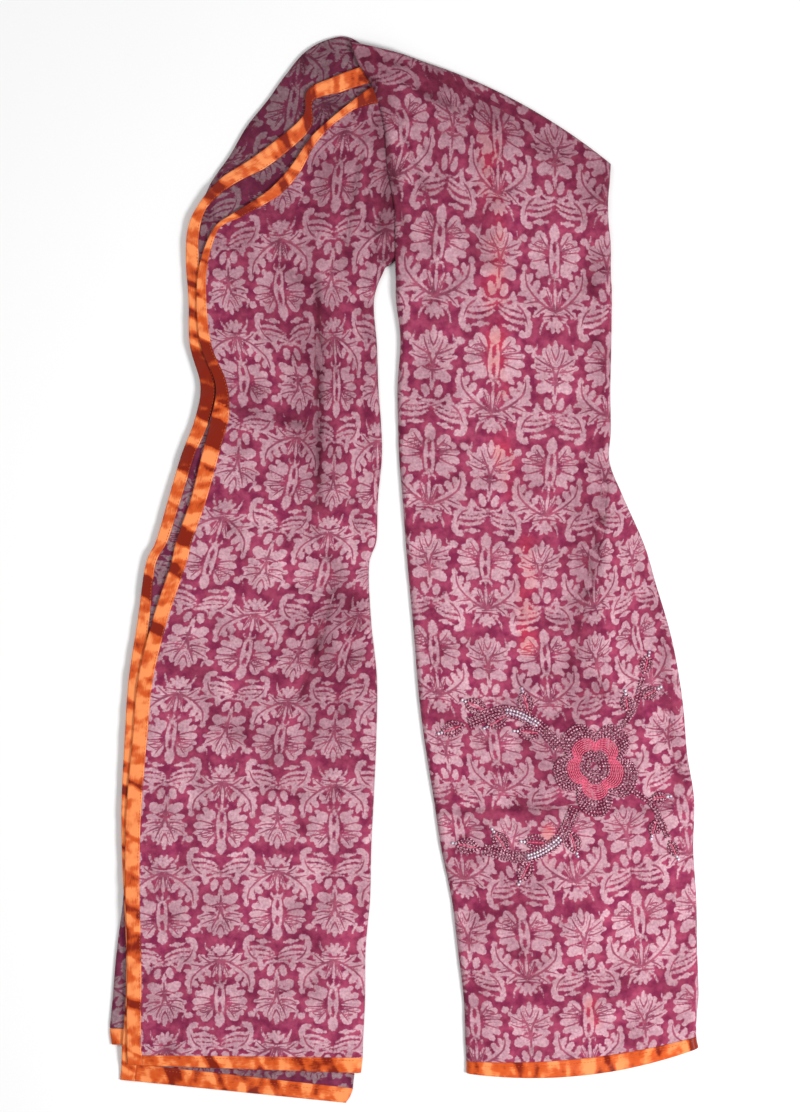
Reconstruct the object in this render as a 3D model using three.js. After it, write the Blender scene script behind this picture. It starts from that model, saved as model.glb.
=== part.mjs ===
// A long voile scarf, folded in four lengthwise and laid down as an upside-down U.
// Millimetres, +Z up. The scarf lies on z = 0, with its neck towards +Y and its two ends towards -Y.
//
// The left stretch runs from the left end up to the neck and passes under the right one. The right stretch
// is turned over the slanting fold at the top and comes down to the right end.
// Each stretch has its showing layers as walls, and its hidden layers as one rounded solid.
import * as THREE from 'three';

// Thicknesses and heights
const CLOTH_WALL = 1.2;
const RIBBON_WALL = 1.6;
const AIR = 1;
const SEAM_GAP = 0.45;
const RIBBON_RISE = RIBBON_WALL - CLOTH_WALL;
const LEFT_UNDER_TOP = 3.2;
const RIGHT_UNDER_TOP = 4.4;
const CROSSING_LIFT = 4.4;
const HEM_DROP = LEFT_UNDER_TOP + AIR;

// Left stretch, levels of its two showing layers
const SECOND_TOP = LEFT_UNDER_TOP + AIR + CLOTH_WALL;
const FRONT_TOP = SECOND_TOP + AIR + CLOTH_WALL;

// Where the hem ends of the left stretch come down to the floor
const DROP_START_Y = -488;
const DROP_END_Y = -530;

// Sections to each row of the tables: at an end, and along a leg
const END_STEPS = 4;
const LEG_STEPS = 2;

// Sections of a hem ribbon, and the share of its table row where it stops short of the cloth
const HEM_ROWS = 2;
const HEM_SEAM = 0.97;
const INNER_HEM_SEAM = 0.98;

// Columns across the flat part of each kind of piece
const FRONT_COLUMNS = 13;
const SECOND_COLUMNS = 8;
const SOLID_COLUMNS = 10;
const RIBBON_COLUMNS = 2;

// Binding ribbon, and how far the inner layers stay back from a fold
const RIBBON_WIDTH = 15.6;
const INNER_INSET = 6.5;
const SIDE_INSET = 3;

// Sections of the left leg, from its end upwards: the height of the section, and across it the place of
// the lowest fold, the edge of the second layer, the edge of the front layer and the fold on the right.
// The last two columns are how wide each layer's binding ribbon shows along the section.
const LEG_SECTIONS = [
  { y: -493, under: -308.5, second: -295.6, front: -290.6, right: -45, frontBand: 14.6, secondBand: 15.6 },
  { y: -446, under: -306, second: -291.9, front: -290.6, right: -42.8, frontBand: 15, secondBand: 15.6 },
  { y: -394, under: -301.5, second: -291.4, front: -290.2, right: -42.2, frontBand: 14.6, secondBand: 15.6 },
  { y: -342, under: -295, second: -293.6, front: -291.9, right: -37.6, frontBand: 14.6, secondBand: 15.6 },
  { y: -290, under: -292.4, second: -296, front: -292.4, right: -36.4, frontBand: 15.4, secondBand: 15.6 },
  { y: -238, under: -291.4, second: -296.1, front: -290.4, right: -33.8, frontBand: 15.6, secondBand: 15.6 },
  { y: -176, under: -287.2, second: -293, front: -284.6, right: -31.1, frontBand: 15, secondBand: 15.6 },
  { y: -113, under: -283.1, second: -288.8, front: -278.9, right: -30.4, frontBand: 15.6, secondBand: 15.6 },
  { y: -51, under: -273.7, second: -279.4, front: -263.8, right: -36.6, frontBand: 15.6, secondBand: 12 },
  { y: 6, under: -264.4, second: -271.2, front: -245.1, right: -38.7, frontBand: 16, secondBand: 10 },
  { y: 32, under: -252.9, second: -260, front: -238.9, right: -30.9, frontBand: 16.6, secondBand: 12 },
  { y: 74, under: -240.4, second: -247.7, front: -224.3, right: -29.5, frontBand: 16.6, secondBand: 13 },
  { y: 120, under: -226.9, second: -234.2, front: -212.7, right: -25.2, frontBand: 17.6, secondBand: 14 },
  { y: 157, under: -215.5, second: -220.2, front: -203.5, right: -26.4, frontBand: 19, secondBand: 15.6 },
  { y: 193, under: -209.2, second: -214.1, front: -198.3, right: -29, frontBand: 12, secondBand: 15.6 },
  { y: 235, under: -219.6, second: -225.1, front: -213.9, right: -30.4, frontBand: 11.4, secondBand: 15 },
  { y: 282, under: -221.7, second: -226.4, front: -218.1, right: -33.5, frontBand: 10.4, secondBand: 14 },
];

// Sections of the neck, which fan round its inner corner: the same columns, with a point for each.
const NECK_SECTIONS = [
  { under: [-224.8, 321], second: [-229.2, 321], front: [-214.4, 321], right: [-23.1, 313],
    frontBand: 8.4, secondBand: 13.6 },
  { under: [-222.8, 353], second: [-227.4, 356], front: [-200.4, 356], right: [-17.9, 318],
    frontBand: 5, secondBand: 12.4 },
  { under: [-213.4, 382], second: [-216.5, 381], front: [-181.2, 371], right: [-14.2, 321],
    frontBand: 10.4, secondBand: 9.4 },
  { under: [-202, 407], second: [-194.7, 407], front: [-160.4, 384], right: [-10.6, 324],
    frontBand: 11.4, secondBand: 14.6 },
  { under: [-183.8, 433], second: [-162.4, 428], front: [-139.6, 399], right: [-6.4, 326.5],
    frontBand: 12.4, secondBand: 17.6 },
  { under: [-165.6, 464], second: [-134.4, 449], front: [-119.8, 421], right: [-2.3, 328.5],
    frontBand: 11.4, secondBand: 16.6 },
  { under: [-144.8, 490], second: [-107.3, 474], front: [-100, 450], right: [1.9, 330],
    frontBand: 8.4, secondBand: 14.6 },
  { under: [-127.1, 515], second: [-103.2, 500], front: [-79.2, 470], right: [6, 331],
    frontBand: 6.4, secondBand: 12.4 },
  { under: [-105.2, 541], second: [-76.1, 514], front: [-57.4, 488], right: [10.2, 331.7],
    frontBand: 8.4, secondBand: 17.6 },
  { under: [-79.3, 554.6], second: [-46, 525], front: [-35.6, 504], right: [14.4, 332],
    frontBand: 18.6, secondBand: 18.6 },
  { under: [-55.3, 554.6], second: [-27.3, 529], front: [-21, 510.5], right: [19.6, 332],
    frontBand: 18.6, secondBand: 18.6 },
  { under: [-25.2, 529], second: [-9.6, 527], front: [-6.4, 512.6], right: [25.8, 332.7],
    frontBand: 18.6, secondBand: 18.6 },
];

// Ends of the three layer groups of the left stretch: where the cloth stops and where its hem ribbon stops
const LEFT_ENDS = {
  front: { hem: { left: [-290.4, -514.4], right: [-47, -523.2] },
    cloth: { left: [-290.4, -504.5], right: [-45.3, -507.6] } },
  second: { hem: { left: [-298.1, -530.5], right: [-62.9, -554.6] },
    cloth: { left: [-296.6, -512.8], right: [-55.7, -540.4] } },
  under: { hem: { left: [-307, -493.6], right: [-53, -496] },
    cloth: { left: [-308.7, -476.4], right: [-52, -479.5] } },
};

// Sections of the right stretch, from its hem upwards. bow is how far the middle of the section stands up
// from the straight line. backset is how far the hidden layers start from the left fold, and onNeck is 1
// where the left fold lies on the neck and 0 where it is on the floor. crossing is 1 over the neck.
const RIGHT_SECTIONS = [
  { left: [62.7, -523.2], right: [308.7, -494.1], bow: -16, backset: 3, onNeck: 0, crossing: 0 },
  { left: [62.7, -511.8], right: [302.8, -485.8], bow: -10, backset: 3, onNeck: 0, crossing: 0 },
  { left: [61.4, -482.7], right: [303, -465], bow: -5, backset: 3, onNeck: 0, crossing: 0 },
  { left: [60.1, -446.3], right: [305, -440], bow: -2, backset: 3, onNeck: 0, crossing: 0 },
  { left: [53.9, -394.3], right: [303.5, -394.3], bow: 0, backset: 3, onNeck: 0, crossing: 0 },
  { left: [47.6, -342.3], right: [302.7, -342.3], bow: 0, backset: 3, onNeck: 0, crossing: 0 },
  { left: [36.7, -290.3], right: [299.5, -290.3], bow: 0, backset: 3, onNeck: 0, crossing: 0 },
  { left: [28.9, -238.3], right: [300.4, -238.3], bow: 0, backset: 3, onNeck: 0, crossing: 0 },
  { left: [21.1, -190.4], right: [293.1, -190.4], bow: 0, backset: 3, onNeck: 0, crossing: 0 },
  { left: [13.7, -134.3], right: [288.2, -134.3], bow: 0, backset: 3, onNeck: 0, crossing: 0 },
  { left: [8.6, -71.9], right: [277.3, -71.9], bow: 0, backset: 3, onNeck: 0, crossing: 0 },
  { left: [3.4, -14.7], right: [260.8, -14.7], bow: 0, backset: 3, onNeck: 0, crossing: 0 },
  { left: [-0.2, 26.9], right: [248.4, 26.9], bow: 0, backset: 3, onNeck: 0, crossing: 0 },
  { left: [-3.8, 75.8], right: [227, 75.8], bow: 0, backset: 3, onNeck: 0, crossing: 0 },
  { left: [-7, 113.3], right: [212.2, 113.3], bow: 0, backset: 3, onNeck: 0, crossing: 0 },
  { left: [-8.2, 146.5], right: [213.5, 146.5], bow: 0, backset: 3, onNeck: 0, crossing: 0 },
  { left: [-9, 191.3], right: [213, 188.1], bow: 0, backset: 3, onNeck: 0, crossing: 0.1 },
  { left: [-5.9, 241.2], right: [213.8, 227.7], bow: 0, backset: 3, onNeck: 0, crossing: 0.45 },
  { left: [-10.4, 280], right: [214.2, 250], bow: 0, backset: 3, onNeck: 0, crossing: 0.8 },
  { left: [-10.8, 303], right: [214.3, 262], bow: 0, backset: 3, onNeck: 0, crossing: 1 },
  { left: [-11.3, 318.5], right: [214.5, 273], bow: 0.5, backset: 44, onNeck: 1, crossing: 1 },
  { left: [-11.6, 344], right: [214.6, 289], bow: 1, backset: 47, onNeck: 1, crossing: 1 },
  { left: [-12.7, 380.5], right: [213.5, 312.9], bow: 3, backset: 37, onNeck: 1, crossing: 1 },
  { left: [-20, 421.1], right: [213.5, 338.9], bow: 6, backset: 39, onNeck: 1, crossing: 1 },
  { left: [-23.1, 461.7], right: [211.2, 362.9], bow: 10.5, backset: 34, onNeck: 1, crossing: 1 },
  { left: [-33.9, 500.6], right: [210.7, 385.7], bow: 14.5, backset: 40, onNeck: 1, crossing: 1 },
  { left: [-50.1, 528.2], right: [212.5, 406.5], bow: 17.5, backset: 54, onNeck: 1, crossing: 1 },
  { left: [-58.4, 550.1], right: [213.4, 424.2], bow: 19, backset: 54, onNeck: 1, crossing: 1 },
];

// The largest folds: soft ridges (rise above 0) and troughs (rise below 0) along a line
const LARGE_FOLDS = [
  { name: 'neck roll', from: [-205, 350], to: [-100, 520], rise: 1.6, width: 17 },
  { name: 'neck hollow', from: [-110, 330], to: [-60, 500], rise: -0.9, width: 14 },
  { name: 'left long trough', from: [-94, 297], to: [-84, 215], rise: -1.1, width: 11 },
  { name: 'left long trough, lower', from: [-84, 215], to: [-94, 74], rise: -1.1, width: 11 },
  { name: 'left ridge beside it', from: [-62, 290], to: [-60, 110], rise: 1.5, width: 14 },
  { name: 'left slanting wrinkle', from: [-200, 178], to: [-100, 150], rise: -0.9, width: 11 },
  { name: 'left swell', from: [-170, 110], to: [-120, -40], rise: 1.4, width: 26 },
  { name: 'left slanting hollow', from: [-60, -20], to: [-95, -110], rise: -0.9, width: 16 },
  { name: 'left lower swell', from: [-190, -210], to: [-150, -400], rise: 1.2, width: 34 },
  { name: 'right flare trough', from: [205, 96], to: [200, 40], rise: -1.2, width: 11 },
  { name: 'right flare trough, lower', from: [200, 40], to: [167, -64], rise: -1.2, width: 11 },
  { name: 'right flare ridge', from: [222, 60], to: [205, -90], rise: 1.9, width: 13 },
  { name: 'right middle swell', from: [95, 220], to: [110, 20], rise: 1.2, width: 30 },
  { name: 'right cross wrinkle', from: [40, -250], to: [265, -243], rise: -0.9, width: 12 },
  { name: 'right lower swell', from: [190, -290], to: [180, -450], rise: 1.3, width: 32 },
  { name: 'slanting top roll', from: [20, 470], to: [180, 395], rise: 1.2, width: 18 },
];

// The gentle unevenness of the laid cloth: its height, and how long its waves are across and along
const UNEVEN = { height: 0.5, across: 47, along: 83, beat: 61, shift: 0.4 };

// A large fold keeps this share of its rise at its two ends, and gains this much towards its middle
const FOLD_END_SHARE = 0.35;
const FOLD_MIDDLE_GAIN = 2.6;

// Where the right stretch rolls over the slanting fold at the top: how wide the roll is, how far apart
// the last rows of its table stand, the rows that shape it, and how high its edge lies beside the neck
// and on the neck, whose side is met between two places across
const ROLL_WIDTH = 7;
const ROLL_ROW_PITCH = 22;
const ROLL_ROWS = [0.6, 0.35, 0.2, 0.08, 0];
const ROLL_FOOT = 2;
const ROLL_NECK_AIR = 1.5;
const NECK_SIDE = { clear: 20, over: -5 };

// Colours
const GROUND = { color: 0xa8648a, roughness: 0.9, metalness: 0 };
const WRONG_SIDE = { color: 0x8c5a74, roughness: 0.95, metalness: 0 };
const SATIN = { color: 0xe0702c, roughness: 0.35, metalness: 0 };

const clamp01 = (value) => Math.min(1, Math.max(0, value));
const mix = (a, b, share) => a + (b - a) * share;
const smooth = (value) => {
  const t = clamp01(value);
  return t * t * (3 - 2 * t);
};

// How far the folds raise the cloth at a place
function relief(x, y) {
  let height = UNEVEN.height * Math.sin(x / UNEVEN.across + y / UNEVEN.along)
    * Math.cos(y / UNEVEN.beat - UNEVEN.shift);
  for (const fold of LARGE_FOLDS) {
    const alongX = fold.to[0] - fold.from[0];
    const alongY = fold.to[1] - fold.from[1];
    const share = clamp01(((x - fold.from[0]) * alongX + (y - fold.from[1]) * alongY)
      / (alongX * alongX + alongY * alongY));
    const away = Math.hypot(x - fold.from[0] - share * alongX, y - fold.from[1] - share * alongY);
    const fade = FOLD_END_SHARE + FOLD_MIDDLE_GAIN * share * (1 - share);
    height += fold.rise * fade * Math.exp(-((away / fold.width) ** 2));
  }
  return height;
}

// How far the cloth of the left stretch stands above its own level: the folds fade out where its ends
// come down to the floor
function leftLift(x, y) {
  const drop = smooth((DROP_START_Y - y) / (DROP_START_Y - DROP_END_Y));
  return relief(x, y) * (1 - drop) - HEM_DROP * drop;
}

// A smooth run of values or points through the rows of a table, read by row number
function through(points) {
  const curve = new THREE.CatmullRomCurve3(
    points.map((point) => new THREE.Vector3(point[0], point[1], 0)), false, 'catmullrom', 0.5);
  return (row) => curve.getPoint(row / (points.length - 1));
}

function between(values) {
  return (row) => {
    const low = Math.min(values.length - 2, Math.max(0, Math.floor(row)));
    return mix(values[low], values[low + 1], row - low);
  };
}

// Row numbers from first to last, a given number of steps to each row of the table
function steps(first, last, perRow) {
  const count = Math.round((last - first) * perRow);
  return Array.from({ length: count + 1 }, (_, index) => mix(first, last, index / count));
}

// Row numbers of a whole stretch: fine where its end comes down, even along the leg, plain at the neck
function stretchRows(first, legEnd, last) {
  return [...steps(first, first + 1, END_STEPS), ...steps(first + 1, legEnd, LEG_STEPS).slice(1),
    ...steps(legEnd, last, 1).slice(1)];
}

// The left stretch as guides: for each layer its left edge, its ribbon width, and the fold on the right
function leftGuides(layer) {
  const ends = LEFT_ENDS[layer];
  const legs = layer === 'under' ? LEG_SECTIONS.slice(1) : LEG_SECTIONS;
  const leftPoints = [ends.hem.left, ends.cloth.left];
  const rightPoints = [ends.hem.right, ends.cloth.right];
  const ribbons = [RIBBON_WIDTH, RIBBON_WIDTH];
  const insets = layer === 'second' ? [0, 0] : [INNER_INSET, INNER_INSET];
  for (const section of legs) {
    leftPoints.push([section[layer], section.y]);
    rightPoints.push([section.right, section.y]);
    ribbons.push(section[`${layer}Band`] ?? 0);
    insets.push(INNER_INSET);
  }
  for (const section of NECK_SECTIONS) {
    leftPoints.push(section[layer]);
    rightPoints.push(section.right);
    ribbons.push(section[`${layer}Band`] ?? 0);
    insets.push(INNER_INSET);
  }
  return {
    left: through(leftPoints),
    right: through(rightPoints),
    ribbon: between(ribbons),
    inset: between(insets),
    legEnd: 1 + legs.length,
    last: leftPoints.length - 1,
  };
}

function finished(name, positions, indices, finish) {
  const geometry = new THREE.BufferGeometry();
  geometry.setAttribute('position', new THREE.Float32BufferAttribute(positions, 3));
  geometry.setIndex(indices);
  geometry.computeVertexNormals();
  const mesh = new THREE.Mesh(geometry, new THREE.MeshStandardMaterial(finish));
  mesh.name = name;
  return mesh;
}

// A closed wall from rows of pairs: each pair is a point of the upper side and one of the lower side.
// Rows go towards +Y and pairs towards +X.
function wall(name, rows, finish) {
  const perRow = rows[0].length;
  const positions = [];
  for (const side of ['over', 'below']) {
    for (const row of rows) {
      for (const pair of row) {
        positions.push(pair[side].x, pair[side].y, pair[side].z);
      }
    }
  }
  const lower = rows.length * perRow;
  const indices = [];
  const quad = (a, b, c, d) => indices.push(a, b, c, a, c, d);
  for (let row = 0; row + 1 < rows.length; row += 1) {
    for (let column = 0; column + 1 < perRow; column += 1) {
      const corner = row * perRow + column;
      quad(corner, corner + 1, corner + perRow + 1, corner + perRow);
      quad(lower + corner, lower + corner + perRow, lower + corner + perRow + 1, lower + corner + 1);
    }
    const start = row * perRow;
    const end = start + perRow - 1;
    quad(start, start + perRow, lower + start + perRow, lower + start);
    quad(end, lower + end, lower + end + perRow, end + perRow);
  }
  const top = (rows.length - 1) * perRow;
  for (let column = 0; column + 1 < perRow; column += 1) {
    quad(column, lower + column, lower + column + 1, column + 1);
    quad(top + column, top + column + 1, lower + top + column + 1, lower + top + column);
  }
  return finished(name, positions, indices, finish);
}

// A closed solid on the floor from rows of points of its upper side
function solid(name, rows, finish) {
  const perRow = rows[0].length + 2;
  const positions = [];
  for (const row of rows) {
    for (const spot of [...row, { ...row.at(-1), z: 0 }, { ...row[0], z: 0 }]) {
      positions.push(spot.x, spot.y, spot.z);
    }
  }
  const indices = [];
  for (let row = 0; row + 1 < rows.length; row += 1) {
    for (let column = 0; column < perRow; column += 1) {
      const here = row * perRow + column;
      const next = row * perRow + (column + 1) % perRow;
      indices.push(here, next, next + perRow, here, next + perRow, here + perRow);
    }
  }
  const top = (rows.length - 1) * perRow;
  for (let column = 0; column + 2 < perRow; column += 1) {
    indices.push(perRow - 1, column + 1, column);
    indices.push(top + perRow - 1, top + column, top + column + 1);
  }
  return finished(name, positions, indices, finish);
}

const point = (x, y, z) => ({ x, y, z });

// A place on a section, as a distance from its left end, with the section bowed sideways
function onSection(left, right, distance, bow = 0) {
  const length = Math.hypot(right.x - left.x, right.y - left.y);
  const share = distance / length;
  const lift = bow * 4 * share * (1 - share) / length;
  return {
    x: mix(left.x, right.x, share) - (right.y - left.y) * lift,
    y: mix(left.y, right.y, share) + (right.x - left.x) * lift,
  };
}

const sectionLength = (left, right) => Math.hypot(right.x - left.x, right.y - left.y);

// Even distances from one place on a section to another
function spread(from, to, count) {
  return Array.from({ length: count + 1 }, (_, index) => mix(from, to, index / count));
}

// A rounded fold at an edge, from the flat inwards to its foot. fall is the share of the height lost,
// and inward and down say which way the wall's inner side lies.
const FOLD_TURN = [
  { inset: 7, fall: 0, inward: 0, down: 1 },
  { inset: 2.6, fall: 0.1, inward: 0.45, down: 0.9 },
  { inset: 0.6, fall: 0.42, inward: 0.95, down: 0.4 },
  { inset: 0, fall: 1, inward: 1, down: 0 },
];

// The same turn for a solid: how much of its height is left at a distance in from its side
const SOLID_TURN = [
  { inset: 0, height: 0.4 },
  { inset: 1.2, height: 0.8 },
  { inset: 5, height: 1 },
];

// Left stretch, front layer: flat from its ribbon, then turned down to the floor at the fold on the right
function frontRow(guides, row, thickness, from) {
  const left = guides.left(row);
  const right = guides.right(row);
  const length = sectionLength(left, right);
  const level = (place) => FRONT_TOP + thickness - CLOTH_WALL + leftLift(place.x, place.y);
  const pairs = spread(from, length - FOLD_TURN[0].inset, FRONT_COLUMNS).map((distance) => {
    const place = onSection(left, right, distance);
    const height = level(place);
    return { over: point(place.x, place.y, height), below: point(place.x, place.y, height - thickness) };
  });
  for (const turn of FOLD_TURN.slice(1)) {
    const outer = onSection(left, right, length - turn.inset);
    const inner = onSection(left, right, length - turn.inset - turn.inward * thickness);
    const height = level(outer) * (1 - turn.fall);
    const drop = turn.down * thickness;
    pairs.push({ over: point(outer.x, outer.y, height),
      below: point(inner.x, inner.y, Math.max(0, height - drop)) });
  }
  return pairs;
}

// A flat strip across part of a section, at a layer's level
function flatRow(guides, row, top, thickness, from, to, count) {
  const left = guides.left(row);
  const right = guides.right(row);
  return spread(from, to(sectionLength(left, right)), count).map((distance) => {
    const place = onSection(left, right, distance);
    const height = top + leftLift(place.x, place.y);
    return { over: point(place.x, place.y, height), below: point(place.x, place.y, height - thickness) };
  });
}

// A solid of hidden layers on the floor, rounded at both sides
function solidRow(place, from, to, count, level) {
  const rise = SOLID_TURN.map((turn) => ({ distance: from + turn.inset, height: turn.height }));
  const fall = SOLID_TURN.map((turn) => ({ distance: to - turn.inset, height: turn.height })).reverse();
  const flat = spread(rise.at(-1).distance, fall[0].distance, count).slice(1, -1);
  const stations = [...rise, ...flat.map((distance) => ({ distance, height: 1 })), ...fall];
  return stations.map((station) => {
    const spot = place(station.distance);
    return point(spot.x, spot.y, level(spot) * station.height);
  });
}

function leftFront() {
  const guides = leftGuides('front');
  const rows = stretchRows(1, guides.legEnd, guides.last);
  const cloth = rows.map((row) => frontRow(guides, row, CLOTH_WALL, guides.ribbon(row) + SEAM_GAP));
  const edge = stretchRows(0, guides.legEnd, guides.last).map((row) => flatRow(
    guides, row, FRONT_TOP + RIBBON_RISE, RIBBON_WALL, 0, () => guides.ribbon(row), RIBBON_COLUMNS));
  const hem = steps(0, HEM_SEAM, HEM_ROWS).map((row) => frontRow(
    guides, row, RIBBON_WALL, guides.ribbon(row) + SEAM_GAP));
  return [
    wall('left_front_cloth', cloth, GROUND),
    wall('left_front_edge_ribbon', edge, SATIN),
    wall('left_front_hem_ribbon', hem, SATIN),
  ];
}

function leftSecond() {
  const guides = leftGuides('second');
  const rows = stretchRows(1, guides.legEnd, guides.last);
  const far = (row) => (length) => length - guides.inset(row);
  const cloth = rows.map((row) => flatRow(
    guides, row, SECOND_TOP, CLOTH_WALL, guides.ribbon(row) + SEAM_GAP, far(row), SECOND_COLUMNS));
  const edge = stretchRows(0, guides.legEnd, guides.last).map((row) => flatRow(
    guides, row, SECOND_TOP + RIBBON_RISE, RIBBON_WALL, 0, () => guides.ribbon(row), RIBBON_COLUMNS));
  const hem = steps(0, INNER_HEM_SEAM, HEM_ROWS).map((row) => flatRow(
    guides, row, SECOND_TOP, CLOTH_WALL, guides.ribbon(row) + SEAM_GAP, far(row), SECOND_COLUMNS));
  return [
    wall('left_second_cloth', cloth, WRONG_SIDE),
    wall('left_second_edge_ribbon', edge, SATIN),
    wall('left_second_hem_ribbon', hem, SATIN),
  ];
}

function leftUnder() {
  const guides = leftGuides('under');
  const section = (row) => {
    const left = guides.left(row);
    const right = guides.right(row);
    const place = (distance) => onSection(left, right, distance);
    const far = sectionLength(left, right) - SIDE_INSET;
    return solidRow(place, 0, far, SOLID_COLUMNS, (spot) => LEFT_UNDER_TOP + relief(spot.x, spot.y));
  };
  return [
    solid('left_under_layers', stretchRows(1, guides.legEnd, guides.last).map(section), GROUND),
    solid('left_under_hem_ribbon', steps(0, INNER_HEM_SEAM, HEM_ROWS).map(section), SATIN),
  ];
}

// Right stretch: its leg ends at this row of the table, where the crossing starts
const RIGHT_LEG_END = 18;

function rightGuides() {
  return {
    left: through(RIGHT_SECTIONS.map((section) => section.left)),
    right: through(RIGHT_SECTIONS.map((section) => section.right)),
    bow: between(RIGHT_SECTIONS.map((section) => section.bow)),
    backset: between(RIGHT_SECTIONS.map((section) => section.backset)),
    onNeck: between(RIGHT_SECTIONS.map((section) => section.onNeck)),
    crossing: between(RIGHT_SECTIONS.map((section) => section.crossing)),
    last: RIGHT_SECTIONS.length - 1,
  };
}

// How much of its height the cloth keeps as it rolls over the slanting fold at the top
function rollShare(guides, row) {
  const toTop = (guides.last - row) * ROLL_ROW_PITCH;
  const turn = 1 - clamp01(toTop / ROLL_WIDTH);
  return Math.sqrt(1 - turn * turn);
}

function rightFrontRow(guides, row, thickness) {
  const left = guides.left(row);
  const right = guides.right(row);
  const bow = guides.bow(row);
  const length = sectionLength(left, right);
  const base = RIGHT_UNDER_TOP + AIR + thickness + CROSSING_LIFT * guides.crossing(row);
  const roll = rollShare(guides, row);
  const neckFoot = (spot) => FRONT_TOP + AIR + relief(spot.x, spot.y);
  const onNeckShare = (spot) => clamp01((NECK_SIDE.clear - spot.x) / (NECK_SIDE.clear - NECK_SIDE.over));
  const topFoot = (spot) => mix(ROLL_FOOT, neckFoot(spot) + ROLL_NECK_AIR, onNeckShare(spot));
  const level = (spot) => mix(topFoot(spot), base + relief(spot.x, spot.y), roll);
  const spot = (distance) => onSection(left, right, distance, bow);
  const pairs = [];
  for (const turn of [...FOLD_TURN].reverse()) {
    const outer = spot(turn.inset);
    const inner = spot(turn.inset + turn.inward * thickness);
    const foot = guides.onNeck(row) * neckFoot(outer);
    const height = mix(level(outer), foot, turn.fall);
    pairs.push({ over: point(outer.x, outer.y, height),
      below: point(inner.x, inner.y, Math.max(foot, height - turn.down * thickness)) });
  }
  for (const distance of spread(FOLD_TURN[0].inset, length - FOLD_TURN[0].inset, FRONT_COLUMNS).slice(1)) {
    const outer = spot(distance);
    const height = level(outer);
    pairs.push({ over: point(outer.x, outer.y, height), below: point(outer.x, outer.y, height - thickness) });
  }
  for (const turn of FOLD_TURN.slice(1)) {
    const outer = spot(length - turn.inset);
    const inner = spot(length - turn.inset - turn.inward * thickness);
    const height = level(outer) * (1 - turn.fall);
    pairs.push({ over: point(outer.x, outer.y, height),
      below: point(inner.x, inner.y, Math.max(0, height - turn.down * thickness)) });
  }
  return pairs;
}

function rightFront() {
  const guides = rightGuides();
  const top = guides.last;
  const rows = [...stretchRows(1, RIGHT_LEG_END, top - 1), ...ROLL_ROWS.map((below) => top - below)];
  return [
    wall('right_front_cloth', rows.map((row) => rightFrontRow(guides, row, CLOTH_WALL)), GROUND),
    wall('right_front_hem_ribbon',
      steps(0, HEM_SEAM, HEM_ROWS).map((row) => rightFrontRow(guides, row, RIBBON_WALL)), SATIN),
  ];
}

// The three hidden layers of the right stretch: their ends show as steps at the hem, each a rise to a
// share of the full height
const HEM_STEPS = [
  { row: 0.1, height: 0.3 },
  { row: 0.3, height: 0.32 },
  { row: 0.36, height: 0.62 },
  { row: 0.6, height: 0.64 },
  { row: 0.66, height: 0.97 },
];

function rightUnder() {
  const guides = rightGuides();
  const section = (row, height) => {
    const left = guides.left(row);
    const right = guides.right(row);
    const bow = guides.bow(row);
    const place = (distance) => onSection(left, right, distance, bow);
    const far = sectionLength(left, right) - SIDE_INSET;
    const base = RIGHT_UNDER_TOP + CROSSING_LIFT * guides.crossing(row);
    return solidRow(place, guides.backset(row), far, SOLID_COLUMNS,
      (spot) => (base + relief(spot.x, spot.y)) * height);
  };
  const rows = [
    ...HEM_STEPS.map((step) => section(step.row, step.height)),
    ...stretchRows(1, RIGHT_LEG_END, guides.last - 1).map((row) => section(row, 1)),
  ];
  return [solid('right_under_layers', rows, GROUND)];
}

const scarf = new THREE.Group();
scarf.add(...leftFront(), ...leftSecond(), ...leftUnder(), ...rightFront(), ...rightUnder());

export default scarf;
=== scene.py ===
"""A long printed voile scarf, bound with satin ribbon, folded in four lengthwise and laid down in a U.

The tables are in millimetres, with the neck towards +Y and the two ends towards -Y. The meshes are in
metres. The left stretch shows its front layer, the edge of the second layer and the fold of the lowest
two. The right stretch lies over the neck and shows its front layer only.
"""
import math

import bpy
import numpy as np
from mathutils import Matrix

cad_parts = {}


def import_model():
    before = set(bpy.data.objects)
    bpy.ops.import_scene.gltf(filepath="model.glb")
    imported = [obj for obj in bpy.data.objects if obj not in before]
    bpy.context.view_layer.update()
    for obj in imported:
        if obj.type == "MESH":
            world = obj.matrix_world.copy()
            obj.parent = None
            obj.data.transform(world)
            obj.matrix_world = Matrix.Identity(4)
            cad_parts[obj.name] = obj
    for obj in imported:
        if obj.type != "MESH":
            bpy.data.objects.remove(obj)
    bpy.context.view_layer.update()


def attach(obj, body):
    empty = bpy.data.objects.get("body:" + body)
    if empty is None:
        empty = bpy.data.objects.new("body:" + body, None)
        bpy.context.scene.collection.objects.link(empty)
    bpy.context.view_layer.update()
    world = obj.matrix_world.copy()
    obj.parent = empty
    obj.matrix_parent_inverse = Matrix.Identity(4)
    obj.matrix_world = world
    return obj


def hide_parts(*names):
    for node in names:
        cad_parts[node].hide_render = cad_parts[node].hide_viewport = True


MM = 0.001

# Heights of the layers, as the solids have them
CLOTH_WALL = 1.2
AIR = 1.0
LEFT_UNDER_TOP = 3.2
RIGHT_UNDER_TOP = 4.4
CROSSING_LIFT = 4.4
HEM_DROP = LEFT_UNDER_TOP + AIR
SECOND_TOP = LEFT_UNDER_TOP + AIR + CLOTH_WALL
FRONT_TOP = SECOND_TOP + AIR + CLOTH_WALL
RIGHT_TOP = RIGHT_UNDER_TOP + AIR + CLOTH_WALL
DROP_START_Y = -488
DROP_END_Y = -530

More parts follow.
